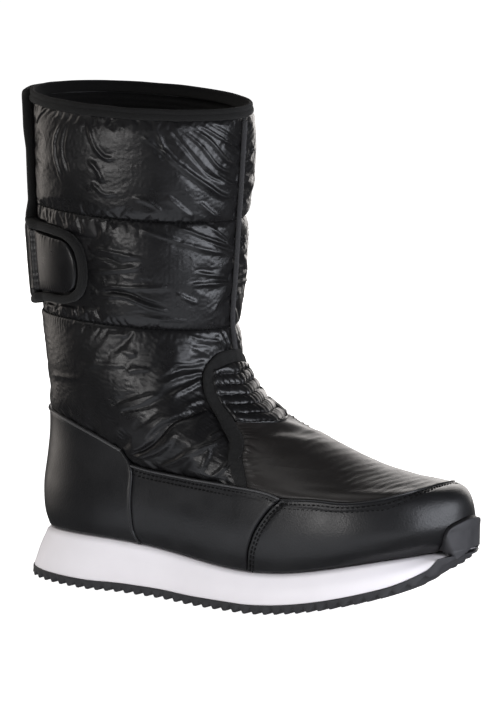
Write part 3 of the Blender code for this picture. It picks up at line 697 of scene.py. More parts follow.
# Bumper: a patch of the last's own form, stood upright below, with rounded edges
def buildBumper():
    bottom = [(168.4, 0.3), (200.0, 0.3)]
    top = [(165.8, 1.3), (166.1, 1.62), (167.2, 1.84), (169.7, 1.97), (174.0, 2.08), (182.6, 2.15)]
    top += [(190.0, 2.08), (195.0, 1.95), (198.4, 1.7), (200.0, 1.3)]
    sides = [(168.4, 0.3), (165.8, 1.3)], [(200.0, 0.3), (200.0, 1.3)]
    turn, level = patchGrid(bottom, top, *sides, edgedShares(24, 0.08), edgedShares(60, 0.03))
    rest = bumperPlan["rest"] + 3 * gap
    inner = skin(turn, level, rest)
    across, up = lengthsAcross(inner), lengthsUp(inner)
    reach = np.minimum(np.minimum(across, across[:, -1:] - across), up[-1:] - up)
    roundEdge = quarterRound(reach, bumperPlan["edge"])
    standOut = bumperPlan["thick"] - bumperPlan["worn"] * (1.0 - roundEdge)
    outer = skin(turn, np.maximum(level, bumperPlan["upright"]), rest + standOut)
    outer[..., 2] = lastForm(turn, level)[..., 2] + standOut - bumperPlan["thick"]
    fromMiddle = turn[0] - bumperPlan["middle"]
    spread = np.where(fromMiddle < 0.0, bumperPlan["narrow"], bumperPlan["wide"])
    footTurn = bumperPlan["middle"] + spread * fromMiddle
    footLoop = mixLoops(soleLoops["tread"], soleLoops["rubberTop"], bumperPlan["footShare"])
    x, outside, inside = soleEdges(footLoop, alongAt(footTurn))
    y = np.where(footTurn <= 180.0, outside, inside)
    foot = np.stack([x, y, treadHeight(x) + toeLean(x, y) + bumperPlan["foot"]], -1)
    share = np.linspace(0.0, 1.0, bumperPlan["steps"], endpoint=False)[:, None, None]
    normal = outward(turn[0], level[0])
    outerFoot = foot + normal * bumperPlan["footOut"] + share * (outer[0] - foot)
    innerFoot = foot - normal * bumperPlan["footIn"] + share * (inner[0] - foot)
    outer, inner = np.concatenate([outerFoot, outer]), np.concatenate([innerFoot, inner])
    sheetSolid("toeBumper", outer, inner, False, rubber, "rubber_black", "outsole")


# Foam wedge: loops from the rubber up to the feather edge, bellied a little and rolled in at the top
def buildWedge():
    along = alongAt(np.linspace(3.0, 177.0, 175))
    along = along[featherHeight(along) - rubberHeight(along) > 1.0]
    low = rubberHeight(along) + gap
    high = np.maximum(featherHeight(along) - gap, low + 0.2)
    table = np.array([soleLoops[name] for name in ("foamFoot", "foamMiddle", "foamShoulder", "foamTop")])
    loops = []
    for row in (0.0, 0.03, 0.15, 0.3, 0.45, 0.6, 0.75, 0.85, 0.92, 0.96, 0.985, 1.0):
        loop = tuple(np.interp(row, [0.0, 0.5, 0.93, 1.0], column) for column in table.T)
        loops.append((loop, low + row * (high - low)))
    sections = soleSections(along, loops, 6)
    room = np.maximum(high - low - 0.15, 0.0)[:, None]
    lean = np.minimum(toeLean(sections[..., 0], sections[..., 1]), room)
    sections[..., 2] += lean * np.clip((high[:, None] - sections[..., 2]) / (high - low)[:, None], 0.0, 1.0)
    sectionSolid("wedge", sections, foam, "foam_white", "midsole")


# Footbed: upright wall from the feather edge, drawn in a little at its top
def buildInsole():
    along = alongAt(np.linspace(4.0, 176.0, 90))
    bed, low, high = featherHeight(along), soleLoops["insoleFoot"], soleLoops["insoleTop"]
    sections = soleSections(along, [(low, bed), (low, bed + 3.2), (high, bed + 4.0)], 8)
    sectionSolid("footbed", sections, lining, "lining_black", "insole")


buildTread()
buildBumper()
buildWedge()
buildInsole()
print("sole built")

panelPlan = {"thick": 1.9, "edge": 1.7, "keeps": 0.35, "groove": 0.5, "grooveHalf": 0.55}


# Panel: a patch lifted off the skin with rounded edges, a relief of its own and grooves under the stitches
def formedPanel(name, edges, size, edgeShares, rest, node, relief, grooves=(), thick=panelPlan["thick"],
                finish=leather, slot="leather_black"):
    turn, level = patchGrid(*edges, *map(edgedShares, size, edgeShares))
    base = skin(turn, level, rest)
    across, up = lengthsAcross(base), lengthsUp(base)
    fromEdge = {"left": across, "right": across[:, -1:] - across, "bottom": up, "top": up[-1:] - up}
    roundEdge = quarterRound(np.minimum.reduce(list(fromEdge.values())), panelPlan["edge"])
    height = thick * (panelPlan["keeps"] + (1.0 - panelPlan["keeps"]) * roundEdge)
    for edge, distance in grooves:
        height -= panelPlan["groove"] * bell((fromEdge[edge] - distance) / panelPlan["grooveHalf"])
    height += relief(turn, level, base, fromEdge) * roundEdge
    return sheetSolid(name, skin(turn, level, rest + height), base, False, finish, slot, node)


# Slow swell and sink of a leather piece, from a few long waves
def softRelief(seed, deep):
    def relief(turn, level, base, fromEdge):
        return deep * waveField(seed, 8, (2, 9), (-0.08, 0.08), turn, base[..., 2])
    return relief


# Distance of points from the middle of the tape, and how far along it their nearest place is
def fromTape(points, count):
    return nearPath(points, skin(*evenPath(bothSides(tapePath), count)[:2]))[:2]


# Pleats that fan out from the tape into the cloth beside it
def tapePleats(tape, along, seed, fan, waves, high, reach):
    along = along + fan * tape
    wave = swells(seed, 14, (0, 0), waves, 0.0 * along, along)
    return high * wave * np.exp(-np.clip(tape - 4.5, 0.0, None) / reach) * smooth((tape - 3.5) / 2.5)


vampPlan = {"thick": 1.4, "pleat": 1.5, "pleatReach": 4.0, "underTape": 1.0, "underRibs": 1.2, "flex": 0.08,
            "fold": 0.3}


# Vamp: pleats along the tape, flex creases straight across the foot, folds below the ribs
def vampRelief(turn, level, base, fromEdge):
    tape, along = fromTape(base, 400)
    height = tapePleats(tape, along, 7, 0.25, (0.8, 1.7), vampPlan["pleat"], vampPlan["pleatReach"])
    sunk = vampPlan["underTape"] * (1.0 - smooth((tape - 3.4) / 2.6))
    height -= sunk + vampPlan["underRibs"] * (1.0 - smooth(fromEdge["top"] / 5.0))
    across = base[..., 0] + 0.10 * np.abs(base[..., 1])
    flex = waveField(17, 12, (0, 6), (0.6, 1.5), turn, across)
    ridge = bell(base[..., 1] / 26.0) * smooth(fromEdge["bottom"] / 12.0)
    height += vampPlan["flex"] * flex * (0.25 + 0.75 * ridge)
    fold = waveField(19, 8, (2, 9), (0.12, 0.3), turn, across)
    return height + vampPlan["fold"] * fold * smooth((level - 5.2) / 1.4) * smooth(fromEdge["bottom"] / 14.0)


# Rows of the double stitching, in mm from a panel's edge
seamRows, capTopRows = (2.3, 4.3), (2.2, 4.2)
capEdges = (bothSides([(102.2, 0.03), (180.0, 0.03)]), bothSides(capTop), capBack, mirrored(capBack))
capGrooves = [(edge, row) for edge in ("left", "right") for row in seamRows]
capGrooves += [("top", row) for row in capTopRows]
formedPanel("toeCap", capEdges, (50, 152), (0.03, 0.006), 0.5, "toe_cap", softRelief(3, 0.12), capGrooves)
quarterFront = [(turn - 0.3, level) for turn, level in capBack]
quarterEdges = ([quarterBack[0], quarterFront[0]], quarterTop, quarterBack, quarterFront)
twin = [mirrored(line) for line in quarterEdges]
twinEdges = (twin[0][::-1], twin[1][::-1], twin[3], twin[2])
quarterGrooves = [("top", row) for row in seamRows]
for name, edges, rest, node, seed in (("quarterOuter", quarterEdges, 0.4, "quarter_outer", 4),
                                      ("quarterInner", twinEdges, 0.45, "quarter_inner", 5)):
    formedPanel(name, edges, (44, 80), (0.03, 0.014), rest, node, softRelief(seed, 0.18), quarterGrooves)
counterBack = [(-turn, level) for turn, level in counterFront]
counterEdges = ([counterBack[0], counterFront[0]], counterTop, counterBack, counterFront)
formedPanel("heelCounter", counterEdges, (48, 100), (0.025, 0.01), 0.4, "heel_counter", softRelief(6, 0.12))
vampFront = [vampSide[0], (112.4, 3.04)] + raised(capTop[1:], 0.04)
vampBack = [vampSide[-1], (180.0, 7.04)]
vampEdges = (bothSides(vampFront), bothSides(vampBack), vampSide, mirrored(vampSide))
formedPanel("vampCover", vampEdges, (104, 160), (0.012, 0.008), 0.6, "vamp", vampRelief, (),
            vampPlan["thick"], satin, "nylon_black")
print("foot panels built")

# Stitches: small rounded grains along a path over the leather, each laid along the path and half sunk
stitchPlan = {"pitch": 3.0, "long": 2.2, "wide": 0.5, "high": 0.38}


# Row of stitches: one grain for each pitch, its section a ring that swells and ends in a point
def stitchRow(name, table, aside, lift, slot="leather_black"):
    fine = np.arange(400)
    turn, level, length = evenPath(table, len(fine))
    step = sideSteps(turn, level)
    count = int(length / stitchPlan["pitch"])
    at = (np.arange(count) + 0.5) / count * fine[-1]
    turn = np.interp(at, fine, turn + aside * step[:, 0])
    level = np.interp(at, fine, level + aside * step[:, 1])
    centre, normal = skin(turn, level, lift), outward(turn, level)
    along = unit(np.gradient(centre, axis=0))
    side = np.cross(normal, along)
    ring = np.linspace(0.0, 2 * np.pi, 7)[:-1]
    ends = np.array([-1.0, -0.72, 0.0, 0.72, 1.0])
    swell = np.array([0.12, 0.82, 1.0, 0.82, 0.12])
    x = np.repeat(ends * stitchPlan["long"] / 2, len(ring))[:, None]
    y = (np.outer(swell, np.cos(ring)).ravel() * stitchPlan["wide"])[:, None]
    z = (np.outer(swell, np.sin(ring)).ravel() * stitchPlan["high"])[:, None]
    points = centre[:, None] + along[:, None] * x + side[:, None] * y + normal[:, None] * z
    faces, _ = sheetFaces(0, len(ends), len(ring), True, False)
    caps = np.array([[0, 3, 2, 1], [0, 5, 4, 3], [24, 25, 26, 27], [24, 27, 28, 29]])
    one = np.concatenate([faces, caps])
    quads = (one[None] + len(x) * np.arange(count)[:, None, None]).reshape(-1, 4)
    addPiece(name, points.reshape(-1, 3), quads, np.zeros((len(quads), 4, 2)), thread, slot)


top = panelPlan["thick"]
for label, place, sign in (("Outer", list, 1.0), ("Inner", mirrored, -1.0)):
    for panel, table, rest in (("quarter", quarterTop, 0.4), ("cap", capBack, 0.5)):
        for letter, row in zip("AB", seamRows):
            stitchRow(panel + "Stitch" + letter + label, place(table), -row * sign, rest + top)
for letter, row in zip("AB", capTopRows):
    stitchRow("capTopStitch" + letter, bothSides(capTop), -row, 0.25 + top)
print("stitches laid")


# Section of a rolled edge: half a circle across it that stands on a share of its own height
def roundHeight(high, keeps):
    def heightAt(across, along):
        return high * (keeps + (1 - keeps) * np.sqrt(np.clip(1.0 - across**2, 0.0, 1.0))) + 0 * along
    return heightAt


# Rolled edges of the panels: path, steps along it, half width and height in mm. The counter's top roll and
# the quarters' rolls take the piping finish, whose lighter colour is a painted highlight along the edge
for name, table, count, half, high, finish in (
    ("counterPiping", counterFront, 90, 1.1, 2.9, leather),
    ("counterPipingInner", mirrored(counterFront), 90, 1.1, 2.9, leather),
    ("counterRoll", raised(counterTop, 0.015), 160, 1.0, 2.7, pipingWithPaintedHighlight),
    ("capRoll", bothSides(capTop), 240, 0.7, 3.0, leather),
    ("quarterRoll", quarterTop, 120, 0.8, 3.1, pipingWithPaintedHighlight),
    ("quarterRollInner", mirrored(quarterTop), 120, 0.8, 3.1, pipingWithPaintedHighlight),
):
    bandAlong(name, table, count, half, roundHeight(high, 0.3), 0.2, finish, "leather_black")

# Quilted bands: one lift of the skin for each place, made of a puffed section, gathers and creases
quiltPlan = {"columns": 304, "shaftPuff": 3.4, "anklePuff": 1.6, "anklePillow": 11.0, "startPuff": 0.5,
             "startCrease": 0.6, "crease": 0.42, "tight": 0.62, "gather": 0.28, "gatherReach": 3.6,
             "least": -0.8, "most": 7.0, "backing": -2.3}


# Puffed section between two stitched rings: a parabola to a low power, steep at both and round between
def puffed(level, low, high, power):
    share = np.clip((level - low) / (high - low), 0.0, 1.0)
    return (4.0 * share * (1.0 - share)) ** power


# Level rows at even lengths up the outer side
def evenLevels(low, high, count, turn):
    levels = np.linspace(low, high, 400)
    length = pathLengths(skin(np.full_like(levels, turn), levels))
    return np.interp(np.linspace(0.0, length[-1], count), length, levels)


# Gathers at a stitched ring: upright pleats that fade away from it
def gathers(seed, turn, away, reach, low, high):
    pleat = np.abs(waveField(seed, 16, (low, high), (-0.10, 0.10), turn, away)) - 0.62
    return pleat * np.exp(-away / reach)


# Crumple: large swellings with small ones over them, both bent by a slow wave
def crumple(seed, turn, height):
    slow = waveField(seed, 10, (1, 6), (-0.05, 0.05), turn, height)
    large = swells(seed + 1, 14, (4, 14), (-0.16, 0.16), turn + 5.0 * slow, height)
    small = swells(seed + 2, 18, (14, 44), (-0.42, 0.42), turn + 4.0 * slow, height)
    return large + 0.42 * small


# Creases seen on the outer side: lines over the skin, width and height in mm; minus sinks, plus stands proud
highCreases = [
    ([(125, 11.85), (132.8, 11.51), (141.5, 11.35), (155, 11.15), (164, 11.03), (178.2, 10.98)], 1.7, 1.7),
    ([(130.8, 11.88), (141, 11.61), (154.8, 11.3), (169.8, 11.18)], 1.3, -0.9),
    ([(143.2, 11.84), (153.8, 11.7), (167.8, 11.44), (181.5, 11.34)], 1.2, 0.9),
    ([(138, 11.82), (149, 11.64), (161, 11.38), (174, 11.27)], 1.1, 0.8),
    ([(148.8, 11.86), (162.2, 11.7), (182.5, 11.51)], 1, 0.8),
    ([(155, 11.87), (168, 11.74), (179, 11.62)], 1, -0.7),
    ([(160, 11.28), (170, 11.18), (178, 11.12)], 1, 0.6),
    ([(75.2, 11.78), (71.8, 11.55), (75.8, 11.06)], 1.2, 1.2),
    ([(80, 11.80), (78, 11.5), (82, 11.15)], 1.6, -0.8),
    ([(63.5, 11.9), (56, 11.76), (49.8, 11.65)], 1, -0.9),
    ([(91.2, 11.84), (94.8, 11.61), (100, 11.45), (106.8, 11.43)], 1.6, 1.1),
    ([(93, 11.39), (98.2, 11.25), (100, 11.15)], 1.6, 0.9),
    ([(94.8, 11.12), (100, 11.01), (106.8, 11.01)], 1.4, 0.8),
    ([(133.2, 11.01), (140.5, 10.86), (147, 10.75)], 1.7, 1.1),
    ([(151.5, 10.93), (157, 10.83), (162.5, 10.75)], 1.6, 1.1),
    ([(116, 10.98), (124, 10.93), (131, 10.8)], 1.8, 0.7),
    ([(120.2, 11.71), (127.8, 11.59), (132.8, 11.51)], 1.2, 0.7),
]
lowCreases = [
    ([(135.2, 10.62), (151.2, 10.48), (179.8, 10.3)], 1.4, 1.2),
    ([(140, 10.56), (156, 10.42), (177, 10.26)], 1.1, -0.8),
    ([(155, 10.65), (166, 10.49), (176, 10.36)], 1.1, 0.9),
    ([(92, 10.24), (104.8, 10.2), (120, 10.15)], 1.5, 1),
    ([(91, 10.12), (100, 10.1), (109, 10.05)], 1.3, -0.8),
    ([(145.2, 9.8), (157.8, 9.81), (176.8, 9.79)], 1.4, 0.9),
    ([(150, 9.98), (163, 9.93), (177, 9.87)], 1.2, 0.7),
    ([(139.5, 9.66), (145, 9.6), (150.8, 9.54)], 1.5, 0.9),
    ([(93.5, 9.53), (111, 9.58), (125, 9.47), (136.8, 9.39)], 1.2, 1.3),
    ([(93.5, 9.6), (110, 9.64), (124, 9.54), (134, 9.46)], 1, -1),
    ([(95.5, 9.7), (119.8, 9.74), (137.8, 9.76)], 1.8, 0.8),
    ([(111.8, 10.59), (128.5, 10.48), (149.5, 10.33), (173.5, 10.21)], 1.7, 0.9),
    ([(92.2, 9.89), (107, 9.96), (118.2, 10.03)], 1.5, 0.9),
    ([(118, 9.32), (131, 9.28), (146, 9.27)], 1.4, 0.6),
]
ankleCreases = [
    ([(69, 4.14), (78.2, 4.74), (93.5, 5.73), (112.8, 6.69), (127.2, 7.12), (137.2, 7.33)], 1.7, -1.9),
    ([(71.5, 4.1), (81.5, 4.66), (95, 5.5), (104, 6)], 1.7, 1.6),
    ([(86, 5.46), (98, 6.12), (114.5, 6.81)], 1.4, -1.1),
    ([(81.8, 5.51), (90.5, 5.96), (101, 6.49), (109, 6.85)], 2.4, 1.5),
    ([(87.5, 6.9), (98.2, 7.16), (108.5, 7.43), (117.5, 7.59)], 2, 1.5),
    ([(88, 6.74), (99, 7), (110, 7.26)], 1.4, -0.8),
    ([(40, 7.27), (50, 7.36), (63.5, 7.5), (78, 7.7)], 2.2, 0.4),
    ([(172.2, 8.84), (159.5, 8.88), (150.2, 8.94), (144, 8.99)], 1.2, 0.9),
    ([(168, 8.74), (157, 8.78), (146, 8.84)], 1.1, -0.8),
    ([(160.2, 8.6), (154.5, 8.65), (147, 8.74)], 1.2, 0.8),
    ([(158, 8.5), (143.2, 8.38), (132.2, 8.38)], 1.2, 1),
    ([(153.2, 8.38), (135.2, 8.26), (120.8, 7.98)], 1.2, -0.9),
    ([(150.8, 8.25), (135.5, 8.11), (120.2, 7.85)], 1.2, 1),
    ([(147.2, 8.06), (128, 7.7), (120.2, 7.53)], 1.3, 1),
    ([(142, 7.62), (129.8, 7.41), (123.2, 7.24)], 1.2, 0.9),
    ([(124, 6.15), (107, 5.43), (97.5, 4.99)], 1.3, 1),
    ([(78, 3.73), (85.5, 4.21), (97.8, 5.03), (114, 5.78)], 1.8, 1.3),
    ([(108.2, 5.38), (101, 4.8), (94.8, 4.16)], 1.3, 0.9),
    ([(113.2, 5.24), (104, 4.5), (94.5, 3.7)], 1.3, 0.9),
    ([(137, 6.78), (127, 6.45), (117, 6.05)], 1.3, 0.9),
    ([(105.5, 8.61), (112.8, 8.56)], 2, 0.7),
    ([(106, 8.14), (118, 8.24)], 1.8, 0.8),
    ([(74, 7.99), (95, 8.2), (115.5, 8.28)], 1.8, 0.5),
    ([(98.2, 8.9), (110, 8.95)], 1.8, 0.7),
]


# The unseen inner side gets the outer side's creases, mirrored, a little lower and lower in height
def bothCreases(creases):
    return creases + [(mirrored(raised(line, -0.06)), width, 0.45 * high) for line, width, high in creases]


# Lift by creases: a bell across each line less a wide one beside it, faded to both ends
def creaseLift(points, creases, tight=1.0):
    lift = np.zeros(points.shape[:-1])
    for line, width, high in creases:
        width = width * tight
        away, along, length = nearPath(points, skin(*evenPath(line, 40)[:2]))
        ends = smooth((along + 2.0) / (0.3 * length)) * smooth((length + 2.0 - along) / (0.3 * length))
        lift += high * ends * (bell(away / width) - 0.35 * bell((away - 2.4 * width) / (1.4 * width)))
    return lift


# Grid with twice the points each way, the new ones on a cubic through their four neighbours
def refined(grid):
    def between(before, low, high, after):
        return (9.0 * (low + high) - before - after) / 16.0
    ring = between(np.roll(grid, 1, 1), grid, np.roll(grid, -1, 1), np.roll(grid, -2, 1))
    wide = np.stack([grid, ring], 2).reshape(len(grid), -1, 3)
    padded = np.concatenate([2 * wide[:1] - wide[1:2], wide, 2 * wide[-1:] - wide[-2:-1]])
    fine = np.empty((2 * len(wide) - 1, wide.shape[1], 3))
    fine[::2] = wide
    fine[1::2] = between(padded[:-3], padded[1:-2], padded[2:-1], padded[3:])
    return fine


# Settling of a cloth ring: it starts on the skin with threads longer than the skin, held along its seams
settlePlan = {"frames": 24, "longer": 0.032, "scale": 0.01, "crumple": 0.22}
clothPlan = {"quality": 5, "mass": 0.1, "tension_stiffness": 8.0, "compression_stiffness": 6.0,
             "shear_stiffness": 2.0, "bending_stiffness": 0.5, "air_damping": 2.0, "use_pressure": True,
             "uniform_pressure_force": 0.4, "vertex_group_mass": "hold"}


# Runs the cloth for its frames, reads the points back and takes the cloth away
def settledCloth(start, hold, plan):
    rows, columns = start.shape[:2]
    quads, _ = sheetFaces(0, rows, columns, True, False)
    mesh = bpy.data.meshes.new("settling")
    mesh.from_pydata((start.reshape(-1, 3) * plan["scale"]).tolist(), [], quads.tolist())
    cloth = bpy.data.objects.new("settling", mesh)
    scene.collection.objects.link(cloth)
    group = cloth.vertex_groups.new(name="hold")
    group.add(np.flatnonzero(hold.ravel()).tolist(), 1.0, "REPLACE")
    settling = cloth.modifiers.new("settling", "CLOTH")
    for key, value in clothPlan.items():
        setattr(settling.settings, key, value)
    settling.settings.shrink_min = -plan["longer"]
    settling.settings.effector_weights.gravity = 0.0
    settling.collision_settings.use_collision = False
    settling.point_cache.frame_end = plan["frames"]
    for number in range(1, plan["frames"] + 1):
        scene.frame_set(number)
    done = cloth.evaluated_get(bpy.context.evaluated_depsgraph_get())
    flat = np.empty(rows * columns * 3, np.float32)
    done.data.vertices.foreach_get("co", flat)
    bpy.data.objects.remove(cloth, do_unlink=True)
    scene.frame_set(1)
    return flat.reshape(start.shape).astype(float) / plan["scale"]


# Nothing on the shin seam, one from a few degrees beside it: a smooth step of the turn
def besideShin(turn):
    return smooth(np.abs(turn - shinTurn) / 3.2)


# Where the shaft's nylon is free: a smooth step of turn past flap and tab, none at the seam
def shaftFree(turn, level):
    covered = np.where(turn > 180.0, 80.0, 40.0)
    tab = np.where(turn > 180.0, 0.0, within(level, 9.2, 10.5, 0.15)) * 48.0
    return smooth((sideTurn(turn) - covered - tab) / 9.0) * besideShin(turn)


# The ankle's nylon is free above the counter and quarters, behind the tape, and clear of the shin seam
def ankleFree(turn, level):
    side = sideTurn(turn)
    tape, _ = fromTape(skin(turn, level), 300)
    counterTurns, counterLevels = np.array(counterTop[4::-1]).T
    covered = np.interp(side, np.append(-counterTurns, 68.0), np.append(counterLevels, 3.4))
    tapeTurns, tapeLevels = np.array(tapePath).T
    behind = np.where(level > 8.5, 1.0, smooth((np.interp(level, tapeLevels, tapeTurns) - side) / 4.0))
    return smooth((level - covered) / 0.45) * behind * besideShin(turn) * smooth((tape - 4.0) / 4.0)


# Pillow of the ankle: the padding stands up behind the tape and falls away to it
def anklePuff(base, turn):
    pillow = quiltPlan["anklePillow"] * smooth((fromTape(base, 300)[0] - 4.0) / 22.0)
    return quiltPlan["anklePuff"] + pillow * smooth((sideTurn(turn) - 40.0) / 75.0)


# Pleats of the ankle: waves along the tape that fade away from it
def anklePleats(base):
    return tapePleats(*fromTape(base, 400), 77, 0.35, (0.55, 1.25), 0.75, 8.0)


# A band starts puffed and folded, settles as cloth, and gets its fine creases and gathers on a finer grid
def quiltBand(name, low, high, count, seed, power, free, creases, plan, puff=None, pleats=None):
    levels = evenLevels(low, high, count, 80.0)
    turns, rows = np.meshgrid(np.linspace(0.0, 360.0, quiltPlan["columns"], endpoint=False), levels)
    base, normal = skin(turns, rows), outward(turns, rows)
    loose = free(turns, rows)
    creases, plan = bothCreases(creases), {**settlePlan, **plan}
    folds = plan["crumple"] * crumple(seed + 20, turns, base[..., 2])
    folds += quiltPlan["startCrease"] * creaseLift(base, creases)
    full = quiltPlan["shaftPuff"] if puff is None else puff(base, turns)
    lift = (quiltPlan["startPuff"] * full + folds) * puffed(rows, low, high, power)
    start = base + normal * (lift * loose)[..., None]
    hold = loose < 0.1
    hold[[0, -1]] = True
    outside = refined(settledCloth(start, hold, plan))
    fineTurn = np.linspace(0.0, 360.0, 2 * quiltPlan["columns"], endpoint=False)
    fineLevels = np.interp(np.arange(2 * count - 1) / 2, np.arange(count), levels)
    turns, rows = np.meshgrid(fineTurn, fineLevels)
    base, normal = skin(turns, rows), outward(turns, rows)
    lift = ((outside - base) * normal).sum(-1)
    up = lengthsUp(base)
    fromSeam = np.minimum(up, up[-1:] - up)
    gathered = 0.07 + 0.93 * within(sideTurn(turns), 25.0, 82.0, 18.0)
    added = quiltPlan["crease"] * creaseLift(base, creases, quiltPlan["tight"]) * smooth(fromSeam / 3.0)
    pleat = gathers(seed + 7, turns, fromSeam, quiltPlan["gatherReach"], 40, 95)
    added += quiltPlan["gather"] * pleat * gathered
    if pleats is not None:
        added += pleats(base)
    wanted = np.clip(lift + added * free(turns, rows), quiltPlan["least"], quiltPlan["most"])
    outside = outside + normal * (wanted - lift)[..., None]
    backRows = np.append(np.arange(0, len(rows), count // 4), len(rows) - 1)
    inside = skin(turns[backRows], rows[backRows], quiltPlan["backing"])
    piece = sheetSolid(name, outside, inside, True, nylon, "nylon_black", "upper")
    print(name, "settled")


quiltBand("quiltHigh", seamHigh, 11.93, 50, 100, 0.42, shaftFree, highCreases, {})
quiltBand("quiltLow", seamLow, seamHigh, 50, 200, 0.42, shaftFree, lowCreases, {})
quiltBand("quiltAnkle", 2.6, seamLow, 72, 300, 0.5, ankleFree, ankleCreases,
          {"longer": 0.017, "crumple": 0.14}, anklePuff, anklePleats)


# Lining: a thin knit tube inside the wall, from the footbed to the rim
def buildLining():
    turns, rows = np.meshgrid(np.linspace(0.0, 360.0, 140, endpoint=False), np.linspace(0.3, 11.9, 36))
    outside, inside = skin(turns, rows, -2.4), skin(turns, rows, -wall)
    sheetSolid("lining", outside, inside, True, lining, "lining_black")


buildLining()
for label, ring in (("High", seamHigh), ("Low", seamLow)):
    seam = [(turn, ring) for turn in np.linspace(42.0, 278.0, 40)]
    stitchRow("seamStitch" + label, seam, 0.0, 0.15, "nylon_black")
print("quilted bands built")

# Instep: six gathered ribs between the tape's arms, and the felt tape itself
instepPlan = {"ribs": 6, "ribThick": 1.0, "ribHigh": 2.0, "pucker": 0.95, "low": 6.98, "high": 8.42,
              "tapeHalf": 4.2, "tapeThick": 2.0, "ripple": 0.08, "cordHalf": 0.45, "cordHigh": 3.4}


# Ribs: rounded rolls between sharp grooves, with puckers that are strongest by the grooves and at both ends
def ribRelief(turn, level, base, fromEdge):
    share = (level - instepPlan["low"]) / (instepPlan["high"] - instepPlan["low"])
    share = share + 0.012 * waveField(43, 8, (6, 22), (0, 0), turn, 0.0 * turn)
    rib = np.abs(np.sin(np.pi * instepPlan["ribs"] * share)) ** 0.42
    pucker = swells(41, 9, (16, 46), (-0.35, 0.35), turn, base[..., 2])
    ends = 0.25 + 1.4 * np.exp(-np.minimum(fromEdge["left"], fromEdge["right"]) / 11.0)
    return instepPlan["ribHigh"] * rib + instepPlan["pucker"] * pucker * (1.3 - rib) * ends


gussetTop = bothSides([gussetSide[-1], (180.0, 8.42)])
gussetEdges = (bothSides([gussetSide[0], (180.0, 6.92)]), gussetTop, gussetSide, mirrored(gussetSide))
gusset = formedPanel("instepRibs", gussetEdges, (104, 124), (0.02, 0.02), 0.8, "instep_gusset", ribRelief, (),
                     instepPlan["ribThick"], nylon, "nylon_black")


# Section of the tape: flat, falling at its edges by an eighth power, with a faint ripple
def tapeHeight(across, along):
    return instepPlan["tapeThick"] * (1.0 - 0.45 * across**8) + instepPlan["ripple"] * np.sin(along * 0.9)


bandAlong("instepTape", bothSides(tapePath), 320, instepPlan["tapeHalf"], tapeHeight, 0.5,
          felt, "felt_black", "instep_tape")
# Shin seam: a cord whose lighter colour is a painted highlight along the seam
shinLine = [(shinTurn, 8.66), (shinTurn, 11.88)]
bandAlong("shinSeam", shinLine, 120, instepPlan["cordHalf"], roundHeight(instepPlan["cordHigh"], 0.25), 0.4,
          paintedHighlightCord, "nylon_black", "front_seam")
print("instep built")

# Back flap and closing tab: pillowed patches with pleats along their stitched edges
closurePlan = {"flapThick": 3.8, "tabThick": 3.2, "strip": 2.8, "stripTurn": 43.0, "pleat": 0.4,
               "flapSwell": 0.8, "tabSwell": 1.9, "groove": 1.3, "cross": 0.12,
               "tabHalf": 2.6, "tabHigh": 4.2, "tabRise": 2.6, "flapHalf": 3.2, "flapHigh": 4.4}


# Flap: swells away from its edges, stands up under the tab's root, pleats fade from its edges
def flapRelief(turn, level, base, fromEdge):
    reach = np.minimum(fromEdge["top"], fromEdge["bottom"])
    across = np.minimum(fromEdge["left"], fromEdge["right"])
    swell = closurePlan["flapSwell"] * (1.0 - np.exp(-reach / 7.0)) * (1.0 - np.exp(-across / 6.0))
    pleat = swells(51, 14, (40, 110), (-0.12, 0.12), turn, base[..., 2])
    raisedRoot = closurePlan["strip"] * within(level, 9.15, 10.5, 0.2) * smooth((turn - 2.0) / 20.0)
    return swell + raisedRoot + closurePlan["pleat"] * pleat * np.exp(-reach / 5.0)


# Tab: a raised strip at its root, a stitched groove, then a pillow with pleats along its upper and lower edge
def tabRelief(turn, level, base, fromEdge):
    reach = np.minimum(fromEdge["top"], fromEdge["bottom"])
    beyond = turn - closurePlan["stripTurn"]
    strip = closurePlan["strip"] * smooth((1.0 - beyond) / 2.5)
    swell = closurePlan["tabSwell"] * (1.0 - np.exp(-reach / 5.5)) * smooth(beyond / 9.0)
    swell *= 1.0 - np.exp(-fromEdge["right"] / 5.0)
    groove = -closurePlan["groove"] * bell(beyond / 0.9)
    pleat = swells(52, 14, (40, 100), (-0.10, 0.10), turn, base[..., 2])
    cross = swells(53, 12, (0, 6), (0.5, 1.1), turn, base[..., 2])
    fine = closurePlan["pleat"] * pleat * np.exp(-reach / 2.8)
    fine += closurePlan["cross"] * cross * np.exp(-np.abs(beyond) / 4.0)
    return strip + swell + groove + fine


# Section of a binding: rounded down to both sides, its height given for each step along it
def boundHeight(high, falls):
    def heightAt(across, along):
        return high * (1.0 - falls * across**4)
    return heightAt


flapSide, flapSeam = [(33.2, 9.2), (33.2, 11.83)], [(-78.0, 9.2), (-78.0, 11.83)]
flapEdges = ([flapSeam[0], flapSide[0]], [flapSeam[1], flapSide[1]], flapSeam, flapSide)
flap = formedPanel("backFlap", flapEdges, (76, 100), (0.015, 0.014), 0.3, "closure_flap", flapRelief, (),
                   closurePlan["flapThick"], nylon, "nylon_black")
tabRoot = [(33.8, 9.40), (33.8, 10.33)]
tabEdges = ([tabRoot[0], tabEnd[0]], [tabRoot[1], tabEnd[-1]], tabRoot, tabEnd)
tab = formedPanel("closingTab", tabEdges, (64, 90), (0.04, 0.03), 0.3, "closure_tab", tabRelief, (),
                  closurePlan["tabThick"], nylon, "nylon_black")
onStrip = closurePlan["tabRise"] * smooth((52.0 - evenPath(bindingPath, 520)[0]) / 9.0)[:, None]
tabSection = boundHeight(closurePlan["tabHigh"] + onStrip, 0.35)
bandAlong("closureBinding", bindingPath, 520, closurePlan["tabHalf"], tabSection, 0.3,
          knit, "knit_black", "closure_binding")
edgeTurn, edgeLevel, _ = evenPath(flapEdge, 360)
risen = 1.5 * smooth((edgeLevel - 11.25) / 0.4) * (0.2 + 0.8 * smooth((edgeTurn - 5.0) / 24.0))
